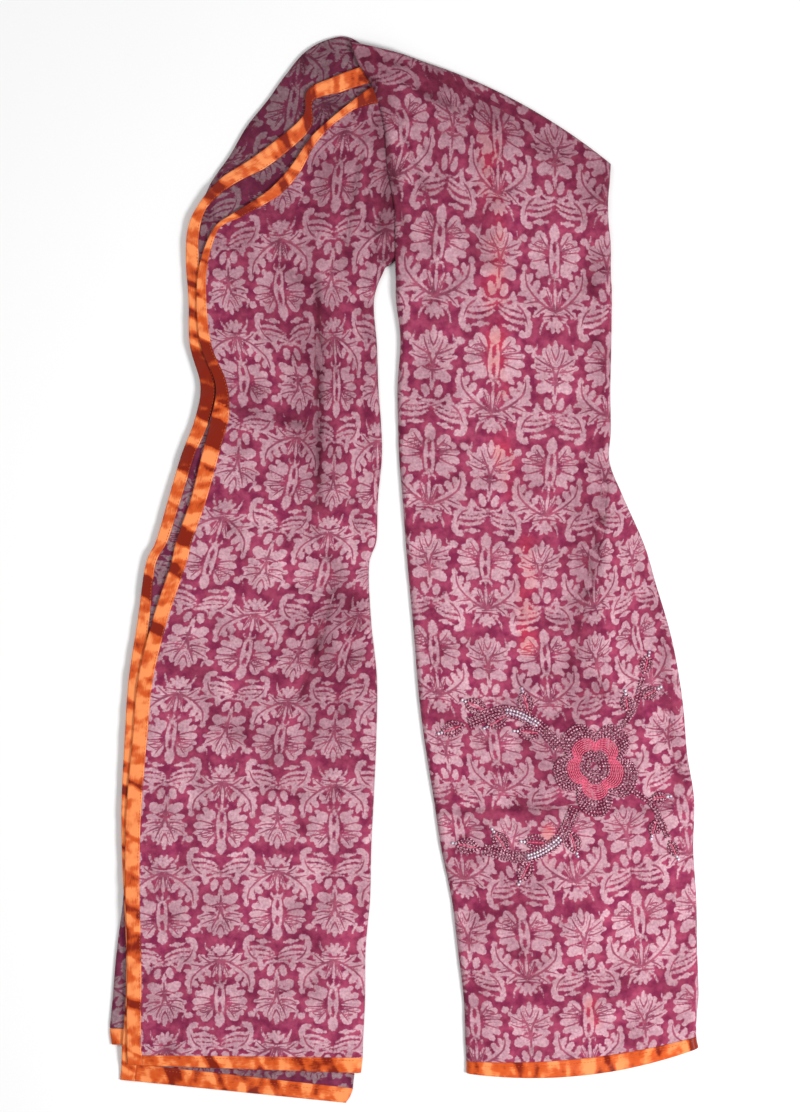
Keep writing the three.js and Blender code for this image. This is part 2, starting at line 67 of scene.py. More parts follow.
# What the real cloth and ribbon look like at their edges
VOILE_THICK = 0.5
RIBBON_THICK = 0.5
RIBBON_LIFT = 0.75
RIBBON_LAP = 1.2
RIBBON_CROWN = 0.35
RIBBON_COCKLE = 0.28
FLOOR_CLEAR = 0.05
LOWEST_FACE = FLOOR_CLEAR + 0.1

# Mesh pitches
LEFT_PITCH = 1.72
RIGHT_PITCH = 1.95
NECK_PITCH_SHARE = 1.4
DULL_PITCH = 2.2
HIDDEN_PITCH = 4.0
RIBBON_PITCH = 1.4
HEM_PITCH = RIBBON_PITCH * 1.5

RIBBON_WIDTH = 15.6
INNER_INSET = 6.5
SIDE_INSET = 3
FOLD_RADIUS = 6.0

# Sections of the left leg, from its end upwards: the height of the section, and across it the place of
# the lowest fold, the edge of the second layer, the edge of the front layer and the fold on the right.
# The last two columns are how wide each layer's binding ribbon shows along the section.
LEG_COLUMNS = ("y", "under", "second", "front", "right", "front_band", "second_band")
LEG_SECTIONS = [
    (-493, -308.5, -295.6, -290.6, -45.0, 14.6, 15.6),
    (-446, -306.0, -291.9, -290.6, -42.8, 15.0, 15.6),
    (-394, -301.5, -291.4, -290.2, -42.2, 14.6, 15.6),
    (-342, -295.0, -293.6, -291.9, -37.6, 14.6, 15.6),
    (-290, -292.4, -296.0, -292.4, -36.4, 15.4, 15.6),
    (-238, -291.4, -296.1, -290.4, -33.8, 15.6, 15.6),
    (-176, -287.2, -293.0, -284.6, -31.1, 15.0, 15.6),
    (-113, -283.1, -288.8, -278.9, -30.4, 15.6, 15.6),
    (-51, -273.7, -279.4, -263.8, -36.6, 15.6, 12.0),
    (6, -264.4, -271.2, -245.1, -38.7, 16.0, 10.0),
    (32, -252.9, -260.0, -238.9, -30.9, 16.6, 12.0),
    (74, -240.4, -247.7, -224.3, -29.5, 16.6, 13.0),
    (120, -226.9, -234.2, -212.7, -25.2, 17.6, 14.0),
    (157, -215.5, -220.2, -203.5, -26.4, 19.0, 15.6),
    (193, -209.2, -214.1, -198.3, -29.0, 12.0, 15.6),
    (235, -219.6, -225.1, -213.9, -30.4, 11.4, 15.0),
    (282, -221.7, -226.4, -218.1, -33.5, 10.4, 14.0),
]

# Sections of the neck, which fan round its inner corner: the same columns, with a point for each.
NECK_COLUMNS = ("under", "second", "front", "right", "front_band", "second_band")
NECK_SECTIONS = [
    ((-224.8, 321), (-229.2, 321), (-214.4, 321), (-23.1, 313), 8.4, 13.6),
    ((-222.8, 353), (-227.4, 356), (-200.4, 356), (-17.9, 318), 5.0, 12.4),
    ((-213.4, 382), (-216.5, 381), (-181.2, 371), (-14.2, 321), 10.4, 9.4),
    ((-202.0, 407), (-194.7, 407), (-160.4, 384), (-10.6, 324), 11.4, 14.6),
    ((-183.8, 433), (-162.4, 428), (-139.6, 399), (-6.4, 326.5), 12.4, 17.6),
    ((-165.6, 464), (-134.4, 449), (-119.8, 421), (-2.3, 328.5), 11.4, 16.6),
    ((-144.8, 490), (-107.3, 474), (-100.0, 450), (1.9, 330), 8.4, 14.6),
    ((-127.1, 515), (-103.2, 500), (-79.2, 470), (6.0, 331), 6.4, 12.4),
    ((-105.2, 541), (-76.1, 514), (-57.4, 488), (10.2, 331.7), 8.4, 17.6),
    ((-79.3, 554.6), (-46.0, 525), (-35.6, 504), (14.4, 332), 18.6, 18.6),
    ((-55.3, 554.6), (-27.3, 529), (-21.0, 510.5), (19.6, 332), 18.6, 18.6),
    ((-25.2, 529), (-9.6, 527), (-6.4, 512.6), (25.8, 332.7), 18.6, 18.6),
]

# Ends of the left stretch: the left and right place where each layer's hem ribbon stops, then the same
# for its cloth
LEFT_ENDS = {
    "front": ((-290.4, -514.4), (-47.0, -523.2), (-290.4, -504.5), (-45.3, -507.6)),
    "second": ((-298.1, -530.5), (-62.9, -554.6), (-296.6, -512.8), (-55.7, -540.4)),
    "under": ((-307.0, -493.6), (-53.0, -496.0), (-308.7, -476.4), (-52.0, -479.5)),
}

# Sections of the right stretch, from its hem upwards. bow is how far the middle of the section stands up
# from the straight line. backset is how far the hidden layers start from the left fold, and on_neck is 1
# where the left fold lies on the neck. crossing is 1 over the neck.
RIGHT_COLUMNS = ("left", "right", "bow", "backset", "on_neck", "crossing")
RIGHT_SECTIONS = [
    ((62.7, -523.2), (304.8, -496.6), -15, 3, 0, 0),
    ((62.7, -511.8), (302.8, -485.8), -10, 3, 0, 0),
    ((61.4, -482.7), (303.0, -465.0), -5, 3, 0, 0),
    ((60.1, -446.3), (305.0, -440.0), -2, 3, 0, 0),
    ((53.9, -394.3), (303.5, -394.3), 0, 3, 0, 0),
    ((47.6, -342.3), (302.7, -342.3), 0, 3, 0, 0),
    ((36.7, -290.3), (299.5, -290.3), 0, 3, 0, 0),
    ((28.9, -238.3), (300.4, -238.3), 0, 3, 0, 0),
    ((21.1, -190.4), (293.1, -190.4), 0, 3, 0, 0),
    ((13.7, -134.3), (288.2, -134.3), 0, 3, 0, 0),
    ((8.6, -71.9), (277.3, -71.9), 0, 3, 0, 0),
    ((3.4, -14.7), (260.8, -14.7), 0, 3, 0, 0),
    ((-0.2, 26.9), (248.4, 26.9), 0, 3, 0, 0),
    ((-3.8, 75.8), (227.0, 75.8), 0, 3, 0, 0),
    ((-7.0, 113.3), (212.2, 113.3), 0, 3, 0, 0),
    ((-8.2, 146.5), (213.5, 146.5), 0, 3, 0, 0),
    ((-9.0, 191.3), (213.0, 188.1), 0, 3, 0, 0.1),
    ((-5.9, 241.2), (213.8, 227.7), 0, 3, 0, 0.45),
    ((-10.4, 280.0), (214.2, 250.0), 0, 3, 0, 0.8),
    ((-10.8, 303.0), (214.3, 262.0), 0, 3, 0, 1),
    ((-11.3, 318.5), (214.5, 273.0), 0.5, 44, 1, 1),
    ((-11.6, 344.0), (214.6, 289.0), 1, 47, 1, 1),
    ((-12.7, 380.5), (213.5, 312.9), 3, 37, 1, 1),
    ((-20.0, 421.1), (213.5, 338.9), 6, 39, 1, 1),
    ((-23.1, 461.7), (211.2, 362.9), 10.5, 34, 1, 1),
    ((-33.9, 500.6), (210.7, 385.7), 14.5, 40, 1, 1),
    ((-50.1, 528.2), (212.5, 406.5), 17.5, 54, 1, 1),
    ((-58.4, 550.1), (213.4, 424.2), 19, 54, 1, 1),
]

# The largest folds, as in the solids: from, to, rise above 0 or below, width
LARGE_FOLDS = [
    ((-205, 350), (-100, 520), 1.6, 17),
    ((-110, 330), (-60, 500), -0.9, 14),
    ((-94, 297), (-84, 215), -1.1, 11),
    ((-84, 215), (-94, 74), -1.1, 11),
    ((-62, 290), (-60, 110), 1.5, 14),
    ((-200, 178), (-100, 150), -0.9, 11),
    ((-170, 110), (-120, -40), 1.4, 26),
    ((-60, -20), (-95, -110), -0.9, 16),
    ((-190, -210), (-150, -400), 1.2, 34),
    ((205, 96), (200, 40), -1.2, 11),
    ((200, 40), (167, -64), -1.2, 11),
    ((222, 60), (205, -90), 1.9, 13),
    ((95, 220), (110, 20), 1.2, 30),
    ((40, -250), (265, -243), -0.9, 12),
    ((190, -290), (180, -450), 1.3, 32),
    ((20, 470), (180, 395), 1.2, 18),
]

# The gentle unevenness of the laid cloth, and how a large fold fades to its ends
UNEVEN_HEIGHT = 0.5
UNEVEN_ACROSS = 47
UNEVEN_ALONG = 83
UNEVEN_BEAT = 61
UNEVEN_SHIFT = 0.4
FOLD_END_SHARE = 0.35
FOLD_MIDDLE_GAIN = 2.6

# Finer creases, each along a bend of three places, with its rise and its width
LEFT_CREASES = [
    ((-94, 300), (-88, 220), (-92, 95), -1.2, 4.2),
    ((-213, 178), (-160, 165), (-103, 150), -0.9, 4.5),
    ((-137, 160), (-118, 156), (-100, 152), -1.2, 1.8),
    ((-122, -16), (-104, -22), (-80, -27), -1.0, 2.0),
    ((-74, -20), (-92, -70), (-110, -134), -1.1, 3.0),
    ((-50, 250), (-47, 190), (-58, 120), 0.9, 5.0),
    ((-150, 330), (-120, 300), (-60, 290), -0.6, 5.0),
    ((-35, 470), (-60, 400), (-62, 330), -1.2, 4.0),
    ((-25, 440), (-36, 380), (-30, 330), 1.0, 5.0),
    ((-190, 60), (-165, 20), (-150, -40), -0.5, 5.0),
    ((-260, -110), (-180, -128), (-100, -120), 0.5, 7.0),
    ((-262, -230), (-170, -222), (-60, -240), -0.45, 6.0),
    ((-250, -330), (-160, -310), (-60, -335), 0.4, 8.0),
    ((-200, -420), (-150, -440), (-60, -425), -0.35, 7.0),
    ((-70, -300), (-62, -380), (-66, -470), 0.6, 9.0),
    ((-106, 548), (-108, 520), (-106, 492), -1.2, 3.0),
    ((-62, 535), (-86, 520), (-110, 515), -0.8, 4.0),
    ((-30, 500), (-46, 440), (-48, 360), 0.9, 4.0),
    ((-22, 400), (-30, 350), (-44, 300), -1.1, 3.0),
    ((-168, 400), (-130, 340), (-112, 280), -0.7, 6.0),
    ((-200, 300), (-170, 240), (-140, 190), 0.6, 8.0),
    ((-112, 75), (-96, 30), (-60, -10), -0.6, 5.0),
    ((-60, 70), (-66, 20), (-50, -20), 0.7, 5.0),
    ((-240, -20), (-200, -60), (-150, -70), -0.5, 6.0),
    ((-220, -140), (-160, -190), (-90, -200), -0.5, 8.0),
]
RIGHT_CREASES = [
    ((-44, 535), (-20, 440), (4, 330), -1.6, 5.0),
    ((-46, 530), (10, 500), (70, 470), -1.5, 4.0),
    ((-40, 528), (20, 480), (95, 425), 0.8, 5.0),
    ((-30, 500), (30, 440), (60, 360), -0.7, 6.0),
    ((90, 500), (150, 455), (205, 418), 0.8, 6.0),
    ((208, 95), (200, 30), (188, -25), -1.1, 4.0),
    ((188, -25), (176, -50), (168, -130), -0.8, 6.0),
    ((212, 92), (210, 30), (203, -30), 1.0, 3.5),
    ((24, -252), (150, -243), (276, -249), -0.8, 2.6),
    ((110, -168), (135, -190), (160, -235), -0.6, 7.0),
    ((40, 250), (80, 230), (190, 240), 0.5, 7.0),
    ((10, 100), (80, 84), (170, 95), -0.45, 6.0),
    ((30, -60), (90, -50), (150, -66), 0.45, 7.0),
    ((75, -330), (160, -345), (280, -325), 0.45, 8.0),
    ((90, -430), (180, -420), (290, -436), -0.4, 7.0),
    ((270, -40), (262, -120), (284, -200), -0.9, 6.0),
    ((-52, 538), (40, 520), (150, 452), -1.1, 3.4),
    ((-50, 532), (60, 470), (130, 430), 0.9, 4.0),
    ((-46, 524), (10, 450), (30, 350), -1.1, 4.0),
    ((-40, 510), (-24, 420), (-6, 250), 0.9, 4.0),
    ((20, 420), (30, 300), (20, 180), -0.5, 7.0),
    ((180, 400), (196, 300), (200, 180), -0.6, 7.0),
    ((100, 120), (112, 20), (120, -90), -0.5, 8.0),
    ((40, 10), (60, -60), (70, -150), 0.5, 9.0),
    ((230, 50), (236, -40), (250, -120), 0.6, 7.0),
    ((90, -270), (110, -360), (120, -440), -0.5, 9.0),
    ((220, -280), (236, -360), (230, -450), 0.5, 8.0),
]


def clamp01(value):
    return np.clip(value, 0.0, 1.0)


def smooth(value):
    share = clamp01(value)
    return share * share * (3 - 2 * share)


def mix(low, high, share):
    return low + (high - low) * share


def relief(x, y):
    """How far the large folds raise the cloth at a place, as in the solids."""
    height = UNEVEN_HEIGHT * np.sin(x / UNEVEN_ACROSS + y / UNEVEN_ALONG)
    height = height * np.cos(y / UNEVEN_BEAT - UNEVEN_SHIFT)
    for start, end, rise, width in LARGE_FOLDS:
        along_x = end[0] - start[0]
        along_y = end[1] - start[1]
        reach = along_x ** 2 + along_y ** 2
        share = clamp01(((x - start[0]) * along_x + (y - start[1]) * along_y) / reach)
        away = np.hypot(x - start[0] - share * along_x, y - start[1] - share * along_y)
        fade = FOLD_END_SHARE + FOLD_MIDDLE_GAIN * share * (1 - share)
        height = height + rise * fade * np.exp(-((away / width) ** 2))
    return height


def bend_points(bend, count):
    """Places along a quadratic bend given by three places."""
    share = np.linspace(0, 1, count)[:, None]
    start, middle, end = (np.array(place, float) for place in bend)
    return (1 - share) ** 2 * start + 2 * share * (1 - share) * middle + share ** 2 * end


CREASE_STEPS = 9


def creasing(x, y, creases):
    """Height of the finer creases at a place: each fades out at both of its ends."""
    height = np.zeros_like(x)
    for start, middle, end, rise, width in creases:
        route = bend_points((start, middle, end), CREASE_STEPS)
        best = np.zeros_like(x)
        for index in range(CREASE_STEPS - 1):
            along = route[index + 1] - route[index]
            share = clamp01(((x - route[index][0]) * along[0] + (y - route[index][1]) * along[1])
                            / (along @ along))
            away = np.hypot(x - route[index][0] - share * along[0], y - route[index][1] - share * along[1])
            place = (index + share) / (CREASE_STEPS - 1)
            fade = np.sqrt(np.clip(4 * place * (1 - place), 0, 1))
            best = np.maximum(best, fade * np.exp(-((away / width) ** 2)))
        height += rise * best
    return height


RIPPLE_WAVES = 14
RIPPLE_LENGTHS = (22, 70)
RIPPLE_HEIGHT = 1.1
LEFT_RIPPLE_SEED = 3
RIGHT_RIPPLE_SEED = 5


def ripple(x, y, seed):
    """Small soft unevenness of limp cloth, the same at every run."""
    draw = np.random.default_rng(seed)
    height = np.zeros_like(x)
    for _ in range(RIPPLE_WAVES):
        angle = draw.uniform(0, math.pi)
        length = draw.uniform(*RIPPLE_LENGTHS)
        phase = draw.uniform(0, 2 * math.pi)
        height += np.sin((x * math.cos(angle) + y * math.sin(angle)) * 2 * math.pi / length + phase)
    return height * RIPPLE_HEIGHT / RIPPLE_WAVES


def hem_drop(y):
    return smooth((DROP_START_Y - y) / (DROP_START_Y - DROP_END_Y))


def left_lift(x, y):
    """How far the cloth of the left stretch stands above its own level."""
    drop = hem_drop(y)
    folds = relief(x, y) + creasing(x, y, LEFT_CREASES) + ripple(x, y, LEFT_RIPPLE_SEED)
    return folds * (1 - drop) - HEM_DROP * drop


def right_lift(x, y):
    return relief(x, y) + creasing(x, y, RIGHT_CREASES) + ripple(x, y, RIGHT_RIPPLE_SEED)


# ---- Guides: the rows of the tables as smooth runs ----

def through(points):
    """A smooth run of places through the rows of a table, read by row number."""
    points = np.array(points, float)
    padded = np.vstack([2 * points[0] - points[1], points, 2 * points[-1] - points[-2]])

    def read(rows):
        rows = np.atleast_1d(np.asarray(rows, float))
        low = np.clip(rows.astype(int), 0, len(points) - 2)
        share = (rows - low)[:, None]
        before, start, end, after = (padded[low + step] for step in range(4))
        slope = end - before
        curve = 2 * before - 5 * start + 4 * end - after
        twist = 3 * (start - end) + after - before
        return start + 0.5 * share * (slope + share * (curve + share * twist))
    return read


def between(values):
    values = np.array(values, float)
    return lambda rows: np.interp(rows, np.arange(len(values)), values)


def column(table, columns, name):
    place = columns.index(name)
    return [row[place] for row in table]


def left_guides(layer):
    hem_left, hem_right, cloth_left, cloth_right = LEFT_ENDS[layer]
    legs = LEG_SECTIONS[1:] if layer == "under" else LEG_SECTIONS
    heights = column(legs, LEG_COLUMNS, "y")
    left = [hem_left, cloth_left]
    left += list(zip(column(legs, LEG_COLUMNS, layer), heights))
    left += column(NECK_SECTIONS, NECK_COLUMNS, layer)
    right = [hem_right, cloth_right]
    right += list(zip(column(legs, LEG_COLUMNS, "right"), heights))
    right += column(NECK_SECTIONS, NECK_COLUMNS, "right")
    bands = [0.0] * len(left)
    if layer != "under":
        bands = [RIBBON_WIDTH, RIBBON_WIDTH]
        bands += column(legs, LEG_COLUMNS, layer + "_band")
        bands += column(NECK_SECTIONS, NECK_COLUMNS, layer + "_band")
    insets = [INNER_INSET] * len(left)
    if layer == "second":
        insets[:2] = [0, 0]
    return {"left": through(left), "right": through(right), "band": between(bands),
            "inset": between(insets), "last": len(left) - 1}


def right_guides():
    guides = {name: between(column(RIGHT_SECTIONS, RIGHT_COLUMNS, name))
              for name in ("bow", "backset", "on_neck", "crossing")}
    for name in ("left", "right"):
        guides[name] = through(column(RIGHT_SECTIONS, RIGHT_COLUMNS, name))
    guides["last"] = len(RIGHT_SECTIONS) - 1
    return guides


ROW_SAMPLES = 6000


def even_rows(guides, first, last, pitch):
    """Row numbers whose sections stand an even pitch apart on their wider side."""
    rows = np.linspace(first, last, ROW_SAMPLES)
    steps = np.zeros(ROW_SAMPLES - 1)
    for side in ("left", "right"):
        places = guides[side](rows)
        steps = np.maximum(steps, np.linalg.norm(np.diff(places, axis=0), axis=1))
    run = np.concatenate([[0], np.cumsum(steps)])
    count = math.ceil(run[-1] / pitch)
    return np.interp(np.linspace(0, run[-1], count + 1), run, rows)


def section_lengths(guides, rows):
    return np.linalg.norm(guides["right"](rows) - guides["left"](rows), axis=1)


def on_sections(guides, rows, distance):
    """Places on each section at distances from its left end: distance has a row for each section."""
    left = guides["left"](rows)
    right = guides["right"](rows)
    length = np.linalg.norm(right - left, axis=1)[:, None]
    share = distance / length
    bow = guides["bow"](rows)[:, None] if "bow" in guides else 0.0
    lift = bow * 4 * share * (1 - share) / length
    x = mix(left[:, :1], right[:, :1], share) - (right - left)[:, 1:] * lift
    y = mix(left[:, 1:], right[:, 1:], share) + (right - left)[:, :1] * lift
    return x, y


def run_along(places):
    """How far along a line each of its places lies."""
    return np.concatenate([[0], np.cumsum(np.linalg.norm(np.diff(places, axis=0), axis=1))])


def cloth_run(guides, rows, x):
    """Length along the middle of a stretch for each place of its grid, as a cloth coordinate."""
    middle = (guides["left"](rows) + guides["right"](rows)) / 2
    return np.broadcast_to(run_along(middle)[:, None], x.shape)


# ---- Meshes ----

TINY = 1e-12


def surface_normals(grid):
    along = np.gradient(grid, axis=0)
    across = np.gradient(grid, axis=1)
    normal = np.cross(across, along)
    return normal / (np.linalg.norm(normal, axis=2, keepdims=True) + TINY)


def finished(name, mesh):
    """A mesh as a finished piece of the scarf."""
    mesh.polygons.foreach_set("use_smooth", np.ones(len(mesh.polygons), bool))
    piece = bpy.data.objects.new(name, mesh)
    bpy.context.collection.objects.link(piece)
    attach(piece, "root")
    return piece


def write_values(piece, values):
    for name, numbers in values.items():
        layer = piece.data.attributes.new(name, "FLOAT", "POINT")
        layer.data.foreach_set("value", np.asarray(numbers, np.float32))


def write_uv(piece, cloth_u, cloth_v):
    """Cloth coordinates in metres, as the piece's own UV map."""
    mesh = piece.data
    corners = np.empty(len(mesh.loops), np.int64)
    mesh.loops.foreach_get("vertex_index", corners)
    uv = np.stack([cloth_u[corners], cloth_v[corners]], axis=1) * MM
    mesh.uv_layers.new(name="cloth").data.foreach_set("uv", uv.astype(np.float32).ravel())


def stops(count, stride):
    return sorted(set(range(0, count - 1, stride)) | {count - 1})


def underside_faces(number, rows, columns, stride):
    """Coarse faces of the lower side, with every point of the rim in them, so that no seam is open."""
    faces = []
    row_stops = stops(rows, stride)
    column_stops = stops(columns, stride)
    for low, high in zip(row_stops, row_stops[1:]):
        for near, far in zip(column_stops, column_stops[1:]):
            bottom = range(near, far + 1) if low == 0 else (near, far)
            top = range(far, near - 1, -1) if high == rows - 1 else (far, near)
            right = range(low + 1, high) if far == columns - 1 else ()
            left = range(high - 1, low, -1) if near == 0 else ()
            ring = [number[low, c] for c in bottom] + [number[r, far] for r in right]
            ring += [number[high, c] for c in top] + [number[r, near] for r in left]
            faces.append([int(corner) for corner in ring][::-1])
    return faces


def thin_underside(grid, thickness):
    lower = grid - surface_normals(grid) * thickness
    lower[:, :, 2] = np.maximum(lower[:, :, 2], FLOOR_CLEAR)
    return lower


# How many fine faces a coarse one of the lower side spans
SHEET_STRIDE = 8
SOLID_STRIDE = 6


def shell(name, grid, lower, material, uv, values, stride=SHEET_STRIDE):
    """A closed sheet: a fine upper side from a grid of places, and a coarse lower side."""
    rows, columns = grid.shape[:2]
    upper_number = np.arange(rows * columns).reshape(rows, columns)
    kept = np.zeros((rows, columns), bool)
    kept[np.ix_(stops(rows, stride), stops(columns, stride))] = True
    kept[[0, -1], :] = True
    kept[:, [0, -1]] = True
    lower_number = np.full((rows, columns), -1)
    lower_number[kept] = rows * columns + np.arange(kept.sum())
    near = upper_number[:-1, :-1].ravel()
    faces = np.stack([near, near + 1, near + 1 + columns, near + columns], axis=1).tolist()
    faces += underside_faces(lower_number, rows, columns, stride)
    rim = [upper_number[0, :], upper_number[:, -1], upper_number[-1, ::-1], upper_number[::-1, 0]]
    rim_lower = [lower_number[0, :], lower_number[:, -1], lower_number[-1, ::-1], lower_number[::-1, 0]]
    for over, below in zip(rim, rim_lower):
        faces += np.stack([over[:-1], below[:-1], below[1:], over[1:]], axis=1).tolist()
    points = np.concatenate([grid.reshape(-1, 3), lower[kept]])
    mesh = bpy.data.meshes.new(name)
    mesh.from_pydata(points * MM, [], faces)
    mesh.validate()
    mesh.materials.append(material)
    piece = finished(name, mesh)
    source = np.concatenate([upper_number.ravel(), upper_number[kept]])
    write_uv(piece, uv[0].ravel()[source], uv[1].ravel()[source])
    write_values(piece, {key: number.ravel()[source] for key, number in values.items()})
    return piece


def thin_sheet(name, grid, thickness, material, uv, values):
    return shell(name, grid, thin_underside(grid, thickness), material, uv, values)


def grid_of(x, y, z):
    return np.stack([x, y, z], axis=2)


TURN_STEPS = 7


def turned_columns(radius):
    """A rounded fold at an edge: how far in from the edge each column is, and how much height it keeps."""
    angle = np.linspace(0, math.pi / 2, TURN_STEPS + 1)[1:]
    return radius * (1 - np.sin(angle)), np.cos(angle)


def spread(start, end, pitch):
    """Distances across each section, from start to end, as many as the widest section needs."""
    count = math.ceil(np.max(end - start) / pitch)
    share = np.linspace(0, 1, count + 1)[None, :]
    return start[:, None] + (end - start)[:, None] * share


# ---- Pattern: a damask of two motifs in checkered rows ----

CELL_WIDTH = 64.0
CELL_HEIGHT = 110.0
FAR_OUTSIDE = -30.0


TOOTH_DEPTH = 0.42


def toothed(place, teeth):
    """The notched edge of a leaf: its width along it, as a share."""
    return 1 - TOOTH_DEPTH * (0.5 - 0.5 * np.cos(2 * math.pi * place * teeth)) ** 2


def leaf(x, y, start, end, half, belly=0.5, teeth=0):
    """How far inside a leaf a point lies: belly is where along the leaf it is widest."""
    along_x = end[0] - start[0]
    along_y = end[1] - start[1]
    length = math.hypot(along_x, along_y)
    share = ((x - start[0]) * along_x + (y - start[1]) * along_y) / length ** 2
    across = np.abs((x - start[0]) * along_y - (y - start[1]) * along_x) / length
    inside = clamp01(share)
    power = belly / (1 - belly)
    profile = inside ** power * (1 - inside) / (belly ** power * (1 - belly))
    width = half * np.sqrt(np.maximum(profile, 0))
    if teeth:
        width = width * toothed(inside, teeth)
    beyond = length * np.maximum(np.maximum(-share, share - 1), 0)
    return width - across - beyond


def along_bend(x, y, bend, steps):
    """For each segment of a bend: signed distance from it, true distance, and the place along the bend."""
    route = bend_points(bend, steps + 1)
    for index in range(steps):
        along = route[index + 1] - route[index]
        off_x = x - route[index][0]
        off_y = y - route[index][1]
        share = clamp01((off_x * along[0] + off_y * along[1]) / (along @ along))
        away = np.hypot(off_x - share * along[0], off_y - share * along[1])
        side = np.where(off_x * along[1] - off_y * along[0] < 0, -1.0, 1.0)
        yield away * side, away, (index + share) / steps


BEND_STEPS = 6


def stroke(x, y, bend, thin, thick, end, teeth=0):
    """A brush stroke along a bend: its half width goes from thin over thick to end."""
    best = np.full_like(x, FAR_OUTSIDE)
    for _, away, place in along_bend(x, y, bend, BEND_STEPS):
        half = thin * (1 - place) ** 2 + 2 * thick * place * (1 - place) + end * place ** 2
        if teeth:
            half = half * toothed(place, teeth)
        best = np.maximum(best, half - away)
    return best


RIB_FAR = 9.0
RIB_STEPS = 4
RIB_TAPER = 0.45


def ribs(x, y, bends):
    """Thin dark lines of a motif: signed distance from the nearest, as a share of its half width."""
    signed = np.full_like(x, RIB_FAR)
    nearest = np.full_like(x, RIB_FAR)
    for start, middle, end, half in bends:
        for side, away, place in along_bend(x, y, (start, middle, end), RIB_STEPS):
            tapered = half * (1 - RIB_TAPER * place)
            closer = away < nearest
            nearest = np.where(closer, away, nearest)
            signed = np.where(closer, side / tapered, signed)
    return np.clip(signed, -RIB_FAR, RIB_FAR), nearest


def spot(x, y, centre, across, along):
    """How far inside an oval a point lies."""
    share = np.hypot((x - centre[0]) / across, (y - centre[1]) / along)
    return (1 - share) * min(across, along)


def joined(*shapes):
    best = shapes[0]
    for shape in shapes[1:]:
        best = np.maximum(best, shape)
    return best


def cut(shape, *holes):
    for hole in holes:
        shape = np.minimum(shape, -hole)
    return shape


def bloom_motif(x, y):
    """The large flower over a vase of two feathered leaves, even about its middle line."""
    x = np.abs(x)
    flower = joined(
        spot(x, y, (0, 24.5), 6.2, 9.5),
        leaf(x, y, (0, 20), (0, 35), 3.6, 0.4),
        leaf(x, y, (6, 6), (20, 25), 6.4, 0.66),
        spot(x, y, (22, 14), 5.6, 4.6),
        leaf(x, y, (8, 4), (32, 9), 3.6, 0.7),
        leaf(x, y, (8, 1), (32, -1), 4.8, 0.7),
        leaf(x, y, (8, -1), (29, -13), 4.8, 0.68),
        spot(x, y, (13, -13), 7.4, 7.6),
        leaf(x, y, (12, -14), (22, -22), 3.6, 0.6),
        spot(x, y, (0, -1), 7.2, 22),
        leaf(x, y, (7, 3), (27, 17), 4.6, 0.7, teeth=2),
    )
    slits = joined(spot(x, y, (0, 9.5), 1.9, 5.6), spot(x, y, (0, -9.5), 1.9, 5.6))
    curls = joined(
        stroke(x, y, ((1, -21), (8, -21), (6.5, -27)), 1.0, 2.2, 0.8),
        spot(x, y, (0, -24), 1.6, 5),
    )
    feather = joined(
        stroke(x, y, ((1, -55), (17, -51), (28, -38)), 3.0, 7.4, 7.0),
        stroke(x, y, ((28, -39), (37, -31), (35, -14)), 7.0, 7.0, 3.4, teeth=3),
        leaf(x, y, (12, -50), (25, -62), 4.6, 0.55, teeth=3),
        leaf(x, y, (21, -45), (35, -53), 4.2, 0.5, teeth=2),
        leaf(x, y, (28, -38), (42, -42), 3.6, 0.45),
        leaf(x, y, (26, -38), (18, -25), 4.2, 0.6),
        leaf(x, y, (30, -30), (26, -18), 3.4, 0.55),
        leaf(x, y, (16, -45), (11, -30), 4.2, 0.6, teeth=2),
        leaf(x, y, (4, -54), (14, -63), 3.4, 0.5),
    )
    heart = joined(
        leaf(x, y, (0, -54), (9, -30), 3.0, 0.5),
        leaf(x, y, (0, -54), (0, -27), 2.8, 0.4),
    )
    root = joined(
        spot(x, y, (0, -63), 3.8, 6.0),
        leaf(x, y, (0, -61), (10, -72), 3.6, 0.6, teeth=2),
        leaf(x, y, (0, -62), (4, -76), 2.6, 0.6),
        stroke(x, y, ((5, -63), (15, -62), (17, -78)), 1.0, 2.4, 0.8),
    )
    lines = ribs(x, y, [
        ((6.2, 14), (8.4, 2), (5.6, -17), 1.0),
        ((7, 9), (11, 12), (16, 20), 0.9),
        ((7.5, 5), (17, 9), (26, 10.5), 0.9),
        ((8, 3), (16, 4), (27, 4.5), 0.8),
        ((8, -1), (15, -4), (25, -6.5), 0.9),
        ((14, 13), (19, 16), (23, 12), 0.8),
        ((2, -53), (18, -49), (31, -33), 1.2),
        ((31, -33), (34, -26), (33.5, -19), 0.9),
        ((20, -46), (26, -47), (31, -49), 0.8),
        ((11, -51), (16, -54), (21, -59), 0.8),
        ((2, -53), (5, -44), (9, -34), 0.8),
        ((0.5, -54), (2.6, -44), (2.5, -34), 0.7),
        ((0, -58), (7, -58.5), (13, -60), 0.9),
    ])
    return joined(cut(flower, slits), curls, feather, heart, root), lines


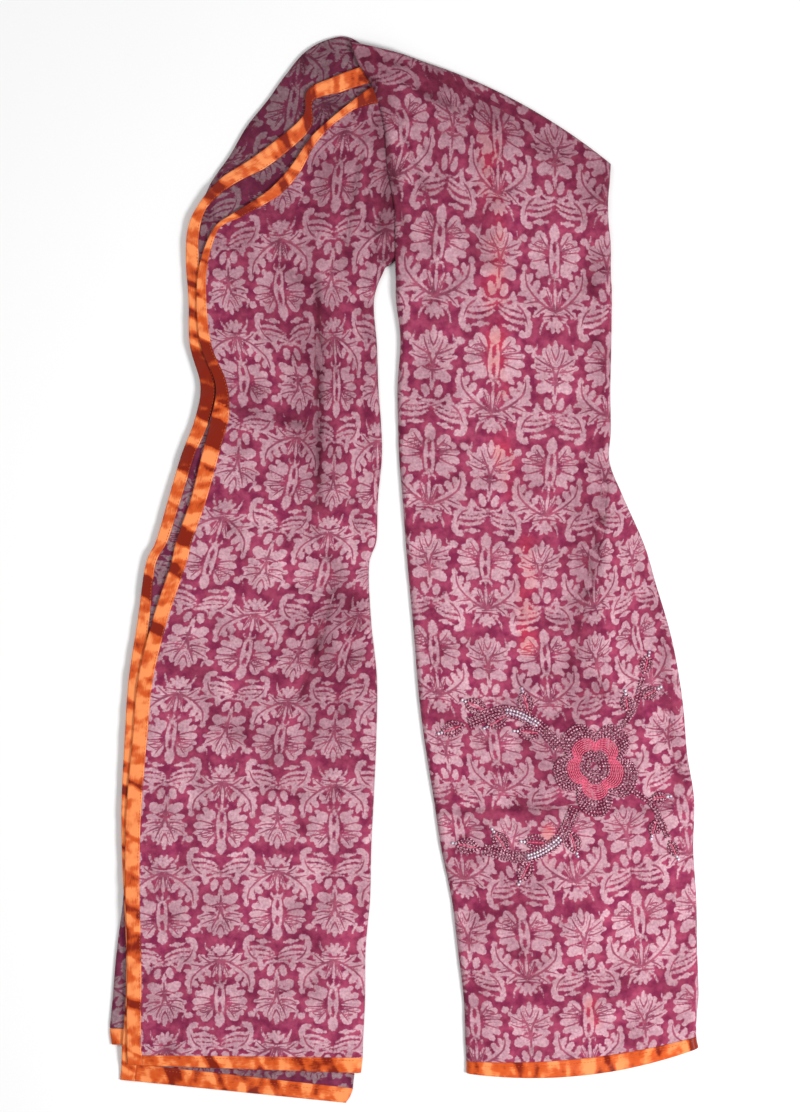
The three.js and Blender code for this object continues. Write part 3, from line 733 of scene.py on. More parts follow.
def fan_motif(x, y):
    """The small fan flower over a wide anchor of feathered arms, even about its middle line."""
    x = np.abs(x)
    fan = joined(
        leaf(x, y, (0, 2), (0, 29), 4.0, 0.45),
        leaf(x, y, (1, 4), (8, 24), 3.6, 0.5),
        leaf(x, y, (2, -2), (13, 19), 5.4, 0.62),
        leaf(x, y, (4, -3), (25, 12), 5.6, 0.62, teeth=3),
        leaf(x, y, (5, -6), (26, 0), 4.6, 0.62, teeth=2),
        leaf(x, y, (4, -9), (22, -12), 4.0, 0.6),
        spot(x, y, (0, 0), 8.5, 11),
    )
    skirt = joined(
        leaf(x, y, (1, -14), (19, -27), 6.4, 0.62),
        spot(x, y, (6, -22), 5.0, 5.0),
        leaf(x, y, (0, -8), (0, -40), 3.4, 0.45),
    )
    berry = joined(
        spot(x, y, (28, 16), 5.0, 4.4),
        stroke(x, y, ((25, 13), (20, 15), (20, 22)), 1.0, 1.8, 0.8),
    )
    commas = joined(
        leaf(x, y, (5, -46), (9, -32), 4.6, 0.42),
        stroke(x, y, ((0.5, -49), (13, -54), (16, -41)), 1.2, 2.3, 1.2),
    )
    anchor = joined(
        stroke(x, y, ((1, -51), (12, -56), (27, -57)), 1.0, 3.0, 2.2),
        stroke(x, y, ((1.5, -55.5), (13, -63), (29, -62.5)), 1.3, 3.0, 2.2),
        stroke(x, y, ((3, -61), (14, -71), (30, -69)), 1.2, 3.0, 2.2),
        stroke(x, y, ((20, -52), (34, -53), (35, -70)), 3.6, 6.6, 4.2, teeth=3),
        stroke(x, y, ((35, -70), (36, -83), (27, -82)), 4.2, 3.8, 2.6),
        spot(x, y, (28.5, -79.5), 3.4, 3.0),
        leaf(x, y, (18, -54), (18, -39), 4.0, 0.4, teeth=2),
        leaf(x, y, (28, -54), (37, -46), 3.8, 0.5),
        leaf(x, y, (6, -74), (25, -77), 3.4, 0.5, teeth=2),
    )
    lines = ribs(x, y, [
        ((0.6, -13), (0.6, -5), (7, 7), 1.1),
        ((7, 7), (9, 11), (10, 15), 0.8),
        ((3, 1), (12, 3), (20, 8), 0.9),
        ((6, -4), (13, -5), (20, -2), 0.9),
        ((0, 9), (2.5, 12), (4, 18), 0.8),
        ((0, -16.5), (5, -17), (10, -14), 1.0),
        ((0.4, -18), (0.4, -22), (0.4, -27), 0.8),
        ((24, -54), (31, -58), (33, -68), 0.9),
    ])
    return joined(fan, skirt, berry, commas, anchor), lines


# Places of the motifs' middles: rows of the pattern, with a place for each of its columns.
# The first row and column say where the motifs start, and even ones hold the fan.
RIGHT_LATTICE = {
    "first_row": -1, "first_column": -2, "turned": False,
    "places": [
        [(20, 565), (81, 554), (147, 548), (208, 540), (268, 531)],
        [(28, 454), (87, 442), (154, 437), (214, 429), (274, 421)],
        [(32, 344), (98, 334), (154, 325), (208, 327), (266, 325)],
        [(28, 225), (91, 219), (156, 210), (214, 213), (274, 211)],
        [(24, 121), (88, 108), (151, 106), (208, 105), (259, 105)],
        [(23, 17), (82, 8), (139, 6), (195, 9), (235, 20)],
        [(29, -82), (85, -90), (145, -91), (197, -87), (239, -69)],
        [(40, -178), (91, -183), (153, -185), (214, -181), (270, -165)],
        [(56, -271), (109, -278), (167, -274), (228, -265), (288, -246)],
        [(64, -373), (123, -379), (185, -377), (243, -363), (302, -345)],
        [(72, -469), (129, -472), (190, -467), (248, -462), (307, -451)],
        [(77, -563), (134, -566), (194, -561), (254, -554), (312, -545)],
    ],
}
LEFT_LATTICE = {
    "first_row": -3, "first_column": 0, "turned": True,
    "places": [
        [(-150, 612), (-94, 616), (-38, 622), (18, 628)],
        [(-167, 498), (-110, 505), (-56, 512), (-2, 519)],
        [(-185, 391), (-128, 399), (-72, 406), (-17, 414)],
        [(-185, 289), (-133, 293), (-78, 297), (-26, 300)],
        [(-168, 200), (-110, 187), (-72, 193), (-31, 187)],
        [(-176, 105), (-117, 93), (-76, 85), (-29, 85)],
        [(-204, 9), (-149, -2), (-85, -4), (-31, -1)],
        [(-230, -80), (-166, -86), (-115, -95), (-66, -88)],
        [(-245, -172), (-189, -172), (-132, -176), (-76, -176)],
        [(-251, -265), (-192, -265), (-134, -267), (-75, -267)],
        [(-254, -361), (-193, -361), (-134, -355), (-74, -358)],
        [(-251, -451), (-194, -446), (-135, -449), (-76, -450)],
        [(-251, -542), (-194, -538), (-135, -540), (-76, -542)],
    ],
}
LATTICE_ROUNDS = 8


def extended(places):
    """The table of places with one more column at either side."""
    places = np.array(places, float)
    before = 2 * places[:, :1] - places[:, 1:2]
    after = 2 * places[:, -1:] - places[:, -2:-1]
    return np.concatenate([before, places, after], axis=1)


def on_lattice(lattice, x, y):
    """Column and row of the pattern at a place, as running numbers."""
    places = extended(lattice["places"])
    rows, columns = places.shape[:2]
    along = np.full_like(x, rows / 2)
    across = np.full_like(x, columns / 2)

    def read(across, along):
        column_low = np.clip(across.astype(int), 0, columns - 2)
        row_low = np.clip(along.astype(int), 0, rows - 2)
        right = (across - column_low)[..., None]
        down = (along - row_low)[..., None]
        near = mix(places[row_low, column_low], places[row_low, column_low + 1], right)
        far = mix(places[row_low + 1, column_low], places[row_low + 1, column_low + 1], right)
        wide = mix(places[row_low, column_low + 1] - places[row_low, column_low],
                   places[row_low + 1, column_low + 1] - places[row_low + 1, column_low], down)
        return mix(near, far, down), wide, far - near
    for _ in range(LATTICE_ROUNDS):
        place, wide, long = read(across, along)
        miss_x = x - place[..., 0]
        miss_y = y - place[..., 1]
        area = wide[..., 0] * long[..., 1] - wide[..., 1] * long[..., 0]
        across = across + (miss_x * long[..., 1] - miss_y * long[..., 0]) / area
        along = along + (miss_y * wide[..., 0] - miss_x * wide[..., 1]) / area
    return across - 1 + lattice["first_column"], along + lattice["first_row"]


# How far a motif reaches aside, up and down from its middle, and how far out its ribs count
MOTIF_REACH = 44
MOTIF_TOP = 40
MOTIF_FOOT = -95
RIB_REACH = 4.0


def damask(lattice, x, y):
    """The print at each place, in millimetres of the repeat: how far inside the light motifs it lies,
    the signed distance from the nearest dark rib, and whether that rib is near."""
    across, along = on_lattice(lattice, x, y)
    value = np.full(x.shape, FAR_OUTSIDE)
    signed = np.full(x.shape, RIB_FAR)
    nearest = np.full(x.shape, RIB_FAR)
    side = -1 if lattice["turned"] else 1
    near_column = np.round(across)
    near_row = np.floor(along) if not lattice["turned"] else np.ceil(along)
    for column_step in (-1, 0, 1):
        for row_step in (0, side):
            motif_column = near_column + column_step
            motif_row = near_row + row_step
            local_x = (across - motif_column) * CELL_WIDTH
            local_y = (motif_row - along) * CELL_HEIGHT * side
            even = (motif_column + motif_row) % 2 == 0
            close = (np.abs(local_x) < MOTIF_REACH) & (local_y < MOTIF_TOP) & (local_y > MOTIF_FOOT)
            for motif, chosen in ((fan_motif, even), (bloom_motif, ~even)):
                mask = close & chosen
                inside, (rib, away) = motif(local_x[mask], local_y[mask])
                value[mask] = np.maximum(value[mask], inside)
                closer = away < nearest[mask]
                signed[mask] = np.where(closer, rib, signed[mask])
                nearest[mask] = np.minimum(nearest[mask], away)
    return {"motif": value, "rib": signed, "rib_near": np.clip(RIB_REACH - nearest, 0, 1)}


# ---- Nodes, for materials and for the small things along a path ----

def feed(tree, socket, value):
    """A socket takes what another node gives, or a plain value."""
    if isinstance(value, bpy.types.NodeSocket):
        tree.links.new(value, socket)
    else:
        socket.default_value = value


def add_node(tree, kind, inputs=None, **settings):
    node = tree.nodes.new(kind)
    for key, value in settings.items():
        setattr(node, key, value)
    for key, value in (inputs or {}).items():
        feed(tree, node.inputs[key], value)
    return node


def math_node(tree, operation, first, second=0.0):
    return add_node(tree, "ShaderNodeMath", {0: first, 1: second}, operation=operation).outputs[0]


def total(tree, first, *others):
    for other in others:
        first = math_node(tree, "ADD", first, other)
    return first


def product(tree, first, *others):
    for other in others:
        first = math_node(tree, "MULTIPLY", first, other)
    return first


def noise_node(tree, place, scale, detail):
    inputs = {"Scale": scale, "Detail": detail, "Vector": place}
    return add_node(tree, "ShaderNodeTexNoise", inputs).outputs["Fac"]


def range_node(tree, value, used, given=(0.0, 1.0), soft=False):
    """Takes the used stretch of a value to the given one."""
    inputs = {"Value": value, "From Min": used[0], "From Max": used[1],
              "To Min": given[0], "To Max": given[1]}
    kind = "SMOOTHSTEP" if soft else "LINEAR"
    return add_node(tree, "ShaderNodeMapRange", inputs, interpolation_type=kind).outputs["Result"]


def uneven(tree, place, patches):
    """Soft patches over a surface: their scale, their detail, the used stretch and the given one."""
    scale, detail, used, given = patches
    return range_node(tree, noise_node(tree, place, scale, detail), used, given)


def mix_node(tree, factor, first, second, blend="MIX"):
    inputs = {0: factor, 6: first, 7: second}
    return add_node(tree, "ShaderNodeMix", inputs, data_type="RGBA", blend_type=blend).outputs[2]


def attribute_node(tree, name):
    return add_node(tree, "ShaderNodeAttribute", attribute_name=name).outputs["Fac"]


def object_place(tree):
    return add_node(tree, "ShaderNodeTexCoord").outputs["Object"]


def cloth_place(tree):
    return add_node(tree, "ShaderNodeUVMap", uv_map="cloth").outputs["UV"]


# ---- Materials ----

def srgb(red, green, blue, alpha=1.0):
    """A colour given as 0 to 255, as the shader wants it."""
    def linear(value):
        share = value / 255
        return share / 12.92 if share <= 0.04045 else ((share + 0.055) / 1.055) ** 2.4
    return (linear(red), linear(green), linear(blue), alpha)


def new_material(name, finish):
    """A material with its finish's numbers on the shader's own sockets."""
    material = bpy.data.materials.new(name)
    material.use_nodes = True
    shader = material.node_tree.nodes["Principled BSDF"]
    for key, value in finish.items():
        shader.inputs[key].default_value = value
    return material, material.node_tree, shader


BUMP_DEPTH = 0.0003


def add_bump(tree, shader, height, strength):
    inputs = {"Strength": strength, "Distance": BUMP_DEPTH, "Height": height}
    feed(tree, shader.inputs["Normal"], add_node(tree, "ShaderNodeBump", inputs).outputs["Normal"])


# The stretch of a noise that holds most of its values
MOST = (0.3, 0.7)

# The plain weave and the slubs in its threads
THREADS_PER_METRE = 520
THREAD_WANDER = {"Distortion": 1.2, "Detail": 2.0, "Detail Scale": 0.6}
WEAVE_RANGE = (0.0, 2.0)
WEAVE_GRAIN = (0.9, 1.1)
SLUBS = (700, 3)
VOILE_BUMP = 0.35
VOILE_FINISH = {"Roughness": 0.88, "Specular IOR Level": 0.2, "Sheen Weight": 0.05, "Sheen Roughness": 0.5}

# The print's edges and ribs: how they wander, and over which distances in the repeat they fade
WOBBLE = (420, 3)
EDGE_WOBBLE = (-0.6, 0.6)
EDGE_FRAY = (150, 2, MOST, (-0.5, 0.5))
EDGE_FADE = (-0.4, 1.3)
RIB_WOBBLE = (-0.3, 0.3)
RIB_FADE = (0.7, 2.2)
RIB_STRENGTH = 0.86

# Its unevenness: from the deep to the pale colour, in lightness, and where a ribbon glows through
GROUND_PATCHES = (95, 4, (0.36, 0.64), (0.0, 1.0))
MOTIF_PATCHES = (0.3, 0.66)
MOTTLE = (260, 4, MOST, (0.85, 1.15))
BLOTCHES = (22, 3, MOST, (0.86, 1.12))
GLOW_PATCHES = (45, 3, (0.36, 0.66), (0.1, 1.0))

# Painted shade lies on the thin cloth a little warmer than the painted light does: powers for red, green
# and blue
SHADE_POWERS = (0.88, 1.18, 1.06)


def weave_height(tree, cloth):
    """The plain weave: warp and weft threads along the cloth coordinates."""
    inputs = {"Scale": THREADS_PER_METRE, "Vector": cloth, **THREAD_WANDER}
    threads = [add_node(tree, "ShaderNodeTexWave", inputs, bands_direction=direction).outputs["Fac"]
               for direction in ("X", "Y")]
    return total(tree, *threads)


def voile(name, grounds, motifs, shine_through):
    """Printed voile: a ground and a light motif with soft edges, in a weave with slubs, darkened by
    painted shade.

    grounds and motifs are each a deep and a pale colour, which come and go over the cloth.
    shine_through is what they turn to where a ribbon glows through."""
    material, tree, shader = new_material(name, VOILE_FINISH)
    cloth = cloth_place(tree)
    place = object_place(tree)
    weave = weave_height(tree, cloth)
    wobble = noise_node(tree, place, *WOBBLE)
    edge = total(tree, attribute_node(tree, "motif"), range_node(tree, wobble, MOST, EDGE_WOBBLE),
                 uneven(tree, place, EDGE_FRAY))
    beside = total(tree, math_node(tree, "ABSOLUTE", attribute_node(tree, "rib")),
                   range_node(tree, wobble, MOST, RIB_WOBBLE))
    rib = product(tree, range_node(tree, beside, RIB_FADE, (1.0, 0.0), soft=True),
                  attribute_node(tree, "rib_near"), RIB_STRENGTH)
    printed = product(tree, range_node(tree, edge, EDGE_FADE, soft=True),
                      math_node(tree, "SUBTRACT", 1.0, rib))
    ground = mix_node(tree, uneven(tree, place, GROUND_PATCHES), *grounds)
    motif = mix_node(tree, range_node(tree, wobble, MOTIF_PATCHES), *motifs)
    tint = product(tree, attribute_node(tree, "tint"), uneven(tree, place, GLOW_PATCHES))
    colour = mix_node(tree, tint, mix_node(tree, printed, ground, motif),
                      mix_node(tree, printed, *shine_through))
    # Painted light and shade from the vertex value light, with random mottle, blotches and weave grain,
    # darkens the colour
    tone_and_painted_shade = product(tree, uneven(tree, place, MOTTLE), uneven(tree, place, BLOTCHES),
                   range_node(tree, weave, WEAVE_RANGE, WEAVE_GRAIN), attribute_node(tree, "light"))
    powers = {channel: math_node(tree, "POWER", tone_and_painted_shade, power) for channel, power in enumerate(SHADE_POWERS)}
    shade = add_node(tree, "ShaderNodeCombineColor", powers).outputs[0]
    feed(tree, shader.inputs["Base Color"], mix_node(tree, 1.0, colour, shade, "MULTIPLY"))
    add_bump(tree, shader, total(tree, weave, noise_node(tree, cloth, *SLUBS)), VOILE_BUMP)
    return material


# Satin: its floats run along the ribbon, and its painted sheen turns from bright to dark in patches
FLOAT_STRETCH = (1.0, 0.16, 1.0)
FLOATS = (900, 3)
FLOAT_TURN = (-0.07, 0.07)
FACE_PATCHES = (60, 2, (0.32, 0.68), (-0.3, 0.22))
DARK_TO_MIDDLE = (0.15, 0.5)
MIDDLE_TO_BRIGHT = (0.5, 0.85)
SATIN_BUMP = 0.3
SATIN_FINISH = {"Roughness": 0.48, "Specular IOR Level": 0.22, "Anisotropic": 0.5}


def satin(name, bright, middle, dark):
    """Satin ribbon: a painted sheen and painted shade, bright to dark where the face tips, with fine
    lengthwise floats.
    """
    material, tree, shader = new_material(name, SATIN_FINISH)
    cloth = cloth_place(tree)
    stretched = add_node(tree, "ShaderNodeMapping", {"Scale": FLOAT_STRETCH, "Vector": cloth})
    streak = noise_node(tree, stretched.outputs["Vector"], *FLOATS)
    # turn, the vertex value, is the painted sheen: high for a painted highlight, low for painted shade
    turn = total(tree, attribute_node(tree, "turn"), uneven(tree, cloth, FACE_PATCHES),
                 range_node(tree, streak, MOST, FLOAT_TURN))
    low = mix_node(tree, range_node(tree, turn, DARK_TO_MIDDLE, soft=True), dark, middle)
    colour = mix_node(tree, range_node(tree, turn, MIDDLE_TO_BRIGHT, soft=True), low, bright)
    feed(tree, shader.inputs["Base Color"], colour)
    add_bump(tree, shader, streak, SATIN_BUMP)
    return material


SPECKS = (300, 3, MOST, (0.0, 1.0))
SPECK_SHADE = 0.82


def sewing_thread(name, colour, roughness):
    """Thread of one colour, with darker specks."""
    material, tree, shader = new_material(name, {"Roughness": roughness})
    darker = tuple(channel * SPECK_SHADE for channel in colour[:3]) + (1.0,)
    specks = uneven(tree, object_place(tree), SPECKS)
    feed(tree, shader.inputs["Base Color"], mix_node(tree, specks, darker, colour))
    return material


# How the painted glint of a sequin comes and goes, and how soon it sets in below and above its threshold
FLASHES = (520, 1)
FLASH_BELOW = 0.06
FLASH_ABOVE = 0.05
BEAD_SHINE = 0.55
SEQUIN_FINISH = {"Roughness": 0.32, "Coat Weight": 0.3}


def sequin(name, deep, bright, threshold):
    """Cup sequins with a painted glint, each on another side, held by beads with painted shine."""
    material, tree, shader = new_material(name, SEQUIN_FINISH)
    painted_glint = range_node(tree, noise_node(tree, object_place(tree), *FLASHES),
                       (threshold - FLASH_BELOW, threshold + FLASH_ABOVE))
    cup = mix_node(tree, painted_glint, deep, bright)
    shine = product(tree, attribute_node(tree, "bead"), BEAD_SHINE)
    feed(tree, shader.inputs["Base Color"], mix_node(tree, shine, cup, bright))
    return material


# ---- Sequins, thread and stitches: small things that follow a path ----

# What a tree is told: the name of the input, its kind, and its value before it is told
PATH_INPUTS = {
    "pitch": ("Pitch", "NodeSocketFloat", 0.003),
    "width": ("Width", "NodeSocketFloat", 0.003),
    "length": ("Length", "NodeSocketFloat", 0.003),
    "tip": ("Tip", "NodeSocketFloat", 0.2),
    "seed": ("Seed", "NodeSocketInt", 1),
}


def tree_input(tree, name, kind, value):
    socket = tree.interface.new_socket(name, in_out="INPUT", socket_type=kind)
    socket.default_value = value
    return socket.identifier


def path_tree(name, element, material):
    """A tree that sets an element at an even pitch along the piece's edges, each tipped a little."""
    tree = bpy.data.node_groups.new(name, "GeometryNodeTree")
    for way in ("INPUT", "OUTPUT"):
        tree.interface.new_socket("Geometry", in_out=way, socket_type="NodeSocketGeometry")
    identifiers = {key: tree_input(tree, *told) for key, told in PATH_INPUTS.items()}
    told = add_node(tree, "NodeGroupInput")
    curve = add_node(tree, "GeometryNodeMeshToCurve", {"Mesh": told.outputs["Geometry"]})
    points = add_node(tree, "GeometryNodeCurveToPoints",
                      {"Curve": curve.outputs["Curve"], "Length": told.outputs["Pitch"]}, mode="LENGTH")
    aligned = add_node(tree, "FunctionNodeAlignRotationToVector", {"Vector": points.outputs["Tangent"]},
                       axis="X", pivot_axis="Z")
    draw = add_node(tree, "FunctionNodeRandomValue", {"Min": (-1, -1, -1), "Seed": told.outputs["Seed"]},
                    data_type="FLOAT_VECTOR")
    tipped = add_node(tree, "ShaderNodeVectorMath",
                      {0: draw.outputs["Value"], "Scale": told.outputs["Tip"]}, operation="SCALE")
    tip = add_node(tree, "FunctionNodeEulerToRotation", {"Euler": tipped.outputs["Vector"]})
    turned = add_node(tree, "FunctionNodeRotateRotation",
                      {"Rotation": aligned.outputs["Rotation"], "Rotate By": tip.outputs["Rotation"]})
    scale = add_node(tree, "ShaderNodeCombineXYZ",
                     {"X": told.outputs["Length"], "Y": told.outputs["Width"], "Z": told.outputs["Width"]})
    placed = add_node(tree, "GeometryNodeInstanceOnPoints",
                      {"Points": points.outputs["Points"], "Instance": element(tree),
                       "Rotation": turned.outputs["Rotation"], "Scale": scale.outputs["Vector"]})
    real = add_node(tree, "GeometryNodeRealizeInstances", {"Geometry": placed.outputs["Instances"]})
    finish = add_node(tree, "GeometryNodeSetMaterial",
                      {"Geometry": real.outputs["Geometry"], "Material": material})
    add_node(tree, "NodeGroupOutput", {"Geometry": finish.outputs["Geometry"]})
    return tree, identifiers


# Elements of unit width or length
CUP_SHAPE = {"Vertices": 10, "Radius Top": 0.5, "Radius Bottom": 0.24, "Depth": 0.14}
BEAD_RADIUS = 0.2
BEAD_PLACE = (0, 0, 0.2)
STITCH_SHAPE = {"Segments": 6, "Rings": 4, "Radius": 0.5}


def cup_element(tree):
    """A cup sequin, open side up, with the bead that holds it."""
    cup = add_node(tree, "GeometryNodeMeshCone", CUP_SHAPE)
    bead = add_node(tree, "GeometryNodeMeshIcoSphere", {"Radius": BEAD_RADIUS})
    marked = add_node(tree, "GeometryNodeStoreNamedAttribute",
                      {"Geometry": bead.outputs["Mesh"], "Name": "bead", "Value": 1.0},
                      data_type="FLOAT", domain="POINT")
    raised = add_node(tree, "GeometryNodeTransform",
                      {"Geometry": marked.outputs["Geometry"], "Translation": BEAD_PLACE})
    both = add_node(tree, "GeometryNodeJoinGeometry")
    feed(tree, both.inputs[0], cup.outputs["Mesh"])
    feed(tree, both.inputs[0], raised.outputs["Geometry"])
    return both.outputs[0]


def thread_element(tree):
    """One stitch: a small spindle lying along the path."""
    return add_node(tree, "GeometryNodeMeshUVSphere", STITCH_SHAPE).outputs["Mesh"]


def set_along(name, routes, element, material, sizes):
    """Small things along routes, as one plain mesh. sizes: pitch, width and length, then tip and seed."""
    points = np.concatenate(routes) * MM
    edges = []
    first = 0
    for route in routes:
        edges += [(first + step, first + step + 1) for step in range(len(route) - 1)]
        first += len(route)
    mesh = bpy.data.meshes.new(name + "_path")
    mesh.from_pydata(points, edges, [])
    path = bpy.data.objects.new(name + "_path", mesh)
    bpy.context.collection.objects.link(path)
    tree, identifiers = path_tree(name + "_tree", element, material)
    modifier = path.modifiers.new("along", "NODES")
    modifier.node_group = tree
    for key in ("pitch", "width", "length"):
        modifier[identifiers[key]] = sizes[key] * MM
    modifier[identifiers["tip"]] = sizes["tip"]
    modifier[identifiers["seed"]] = sizes["seed"]
    evaluated = path.evaluated_get(bpy.context.evaluated_depsgraph_get())
    result = bpy.data.meshes.new_from_object(evaluated)
    path.modifiers.remove(modifier)
    bpy.data.objects.remove(path)
    result.name = name
    return finished(name, result)


SEQUIN_SIZES = {"pitch": 3.2, "width": 3.1, "length": 3.1, "tip": 0.3, "seed": 4}
THREAD_SIZES = {"pitch": 3.4, "width": 1.6, "length": 4.6, "tip": 0.16, "seed": 8}
STITCH_SIZES = {"pitch": 3.4, "width": 0.5, "length": 2.3, "tip": 0.05, "seed": 2}
SPRAY_RISE = 0.45
STONE_RUN = 3.4
STONE_RISE = 0.3

# The spray: a blossom, drawn as rows round its middle, and leafed stems that run from it
BLOSSOM = {"middle": (196, -203), "across": 45, "along": 48, "petals": 5, "turn": 0.35, "dent": 0.36}
BLOSSOM_ROWS = (1.0, 0.93, 0.86, 0.79, 0.72, 0.34, 0.27, 0.2, 0.12)
BLOSSOM_THREAD_ROWS = (0.66, 0.615, 0.57, 0.525, 0.48, 0.435, 0.39)
BLOSSOM_UNEVEN = ((1, 0.05, 0.6), (2, 0.04, 2.1), (3, 0.03, 4.0))
BLOSSOM_STEPS = 220

# Stems: the places each runs through, the gaps of its rows, then how many leaves it has and their length
TWO_ROWS = (-1.7, 1.7)
WIDE_GAPS = (-4.8, -1.6, 1.6, 4.8)
SPRAY_STEMS = [
    ([(158, -182), (134, -158), (102, -146), (66, -158)], WIDE_GAPS, 5, 25),
    ([(176, -248), (158, -280), (124, -298), (82, -290)], WIDE_GAPS, 5, 25),
    ([(222, -166), (238, -142), (246, -112)], TWO_ROWS, 3, 19),
    ([(236, -228), (258, -246), (272, -276)], TWO_ROWS, 3, 17),
]
PALE_STRETCH = (0.3, 0.62)
STEM_STEPS = 60
ROUTE_STEP = 1.2

# Leaves: where on their share of the stem they start, how they stand off, their rows and their vein
LEAF_START = 0.8
LEAF_SPREAD = 0.75
LEAF_WIDTHS = (0.3, 0.15)
LEAF_OFF_STEM = 6
LEAF_VEIN = (0.2, 0.8)
LEAF_STEPS = 30


def blossom_row(share):
    """One closed row of the blossom: petals come and go round its middle."""
    angle = np.linspace(0, 2 * math.pi, BLOSSOM_STEPS)
    wave = np.abs(np.cos(BLOSSOM["petals"] / 2 * (angle + BLOSSOM["turn"])))
    radius = share * (1 - BLOSSOM["dent"] * (1 - wave) ** 1.5 * share)
    for turns, depth, phase in BLOSSOM_UNEVEN:
        radius = radius * (1 + depth * np.cos(turns * angle + phase))
    x = BLOSSOM["middle"][0] + BLOSSOM["across"] * radius * np.cos(angle)
    y = BLOSSOM["middle"][1] + BLOSSOM["along"] * radius * np.sin(angle)
    return np.stack([x, y], axis=1)


def leaf_outline(start, end, width):
    share = np.linspace(0, 1, LEAF_STEPS)[:, None]
    along = end - start
    side = np.array([-along[1], along[0]]) * width
    one = start + along * share + side * np.sin(math.pi * share)
    other = start + along * share - side * np.sin(math.pi * share)
    return np.concatenate([one, other[::-1]])


def stem_leaves(line, count, length):
    """Leaves by turns at either side of a stem, and one at its end: where each starts and ends."""
    along = np.gradient(line, axis=0)
    angle = np.arctan2(along[:, 1], along[:, 0])
    leaves = []
    for number in range(count):
        last = number == count - 1
        place = len(line) - 1 if last else int((number + LEAF_START) / count * len(line))
        side = 0 if last else (-1) ** number
        turned = angle[place] + side * LEAF_SPREAD
        aside = np.array([math.cos(turned), math.sin(turned)])
        start = line[place] + aside * LEAF_OFF_STEM
        leaves.append((start, start + aside * length))
    return leaves


def stem_line(points):
    line = through(points)(np.linspace(0, len(points) - 1, STEM_STEPS))
    run = run_along(line)
    even = np.linspace(0, run[-1], max(2, int(run[-1] / ROUTE_STEP)))
    return np.stack([np.interp(even, run, line[:, axis]) for axis in (0, 1)], axis=1)


def beside(line, gap):
    along = np.gradient(line, axis=0)
    side = np.stack([-along[:, 1], along[:, 0]], axis=1)
    return line + side / np.linalg.norm(side, axis=1, keepdims=True) * gap


def on_right_cloth(line):
    x, y = line[:, 0], line[:, 1]
    z = RIGHT_TOP + right_lift(x, y) + SPRAY_RISE
    return np.stack([x, y, z], axis=1)


def spray(materials):
    rows = [on_right_cloth(blossom_row(share)) for share in BLOSSOM_ROWS]
    threads = [on_right_cloth(blossom_row(share)) for share in BLOSSOM_THREAD_ROWS]
    pale = []
    for points, gaps, count, length in SPRAY_STEMS:
        line = stem_line(points)
        rows += [on_right_cloth(beside(line, gap)) for gap in gaps]
        if gaps == WIDE_GAPS:
            first, last = (int(share * len(line)) for share in PALE_STRETCH)
            pale += [on_right_cloth(beside(line, gap)[first:last]) + (0, 0, STONE_RISE)
                     for gap in TWO_ROWS]
        for start, end in stem_leaves(line, count, length):
            rows += [on_right_cloth(leaf_outline(start, end, width)) for width in LEAF_WIDTHS]
            threads.append(on_right_cloth(np.array([mix(start, end, share) for share in LEAF_VEIN])))
            tip = end + (end - start) / np.linalg.norm(end - start) * STONE_RUN
            pale.append(on_right_cloth(np.array([end, tip])) + (0, 0, STONE_RISE))
    set_along("spray_sequins", rows, cup_element, materials["sequin"], SEQUIN_SIZES)
    set_along("spray_pale_sequins", pale, cup_element, materials["pale_sequin"], SEQUIN_SIZES)
    set_along("spray_thread", threads, thread_element, materials["thread"],
              THREAD_SIZES)


# ---- Painted light and shade on the cloth, as a vertex value ----

# Painted shade in the troughs of creases and painted light on their ridges: the share of light lost for
# each millimetre, and its limits
SHADE_PER_MM = 0.26
DARKEST = 0.45
LIGHTEST = 1.16
FOLD_WEIGHT = 0.5
RIPPLE_WEIGHT = 1.4

# Painted shade where less light reaches the cloth: along a bend of three places, its half width, the share
# left
LEFT_SHADES = [
    ((-92, 304), (-90, 190), (-91, 72), 4.6, 0.6),
    ((-108, 302), (-102, 190), (-98, 74), 19, 0.78),
    ((-214, 178), (-160, 166), (-103, 150), 9, 0.8),
    ((-84, -50), (-92, -100), (-84, -150), 34, 0.74),
    ((-60, -30), (-42, -80), (-48, -150), 22, 0.87),
    ((-30, 505), (-12, 420), (-10, 300), 20, 0.65),
    ((-122, -16), (-104, -22), (-80, -27), 4, 0.78),
    ((-74, -20), (-92, -70), (-110, -134), 5, 0.78),
    ((-45, 300), (-52, 200), (-60, 110), 16, 0.86),
]
RIGHT_SHADES = [
    ((-52, 545), (60, 500), (212, 418), 44, 0.6),
    ((-40, 520), (-22, 420), (-12, 290), 16, 0.74),
    ((20, 520), (60, 440), (96, 400), 22, 0.88),
    ((134, -165), (134, -200), (130, -240), 26, 0.88),
    ((208, 96), (201, 30), (188, -25), 5.0, 0.72),
    ((196, 60), (182, -30), (170, -150), 22, 0.8),
    ((206, 400), (208, 250), (210, 110), 12, 0.86),
    ((24, -252), (150, -243), (276, -249), 3.6, 0.82),
    ((258, -20), (262, -110), (284, -200), 16, 0.88),
    ((66, -300), (72, -400), (78, -500), 12, 0.9),
]
# Overall painted light of each stretch and of the hidden layers, and painted shade at fold edges, at the
# neck and higher up
LEFT_LIGHT = 0.715
RIGHT_LIGHT = 0.68
HIDDEN_LIGHT = 0.95
FOLD_SHADE = 0.6
NECK_SHADE_START = 285
NECK_SHADE_REACH = 120
NECK_SHADE = 0.8
UPPER_SHADE_END = 40
UPPER_SHADE_REACH = 120
UPPER_SHADE = 0.88


def laid_shading(x, y, creases, seed):
    height = creasing(x, y, creases) + FOLD_WEIGHT * relief(x, y) + RIPPLE_WEIGHT * ripple(x, y, seed)
    return np.clip(1 + SHADE_PER_MM * height, DARKEST, LIGHTEST)


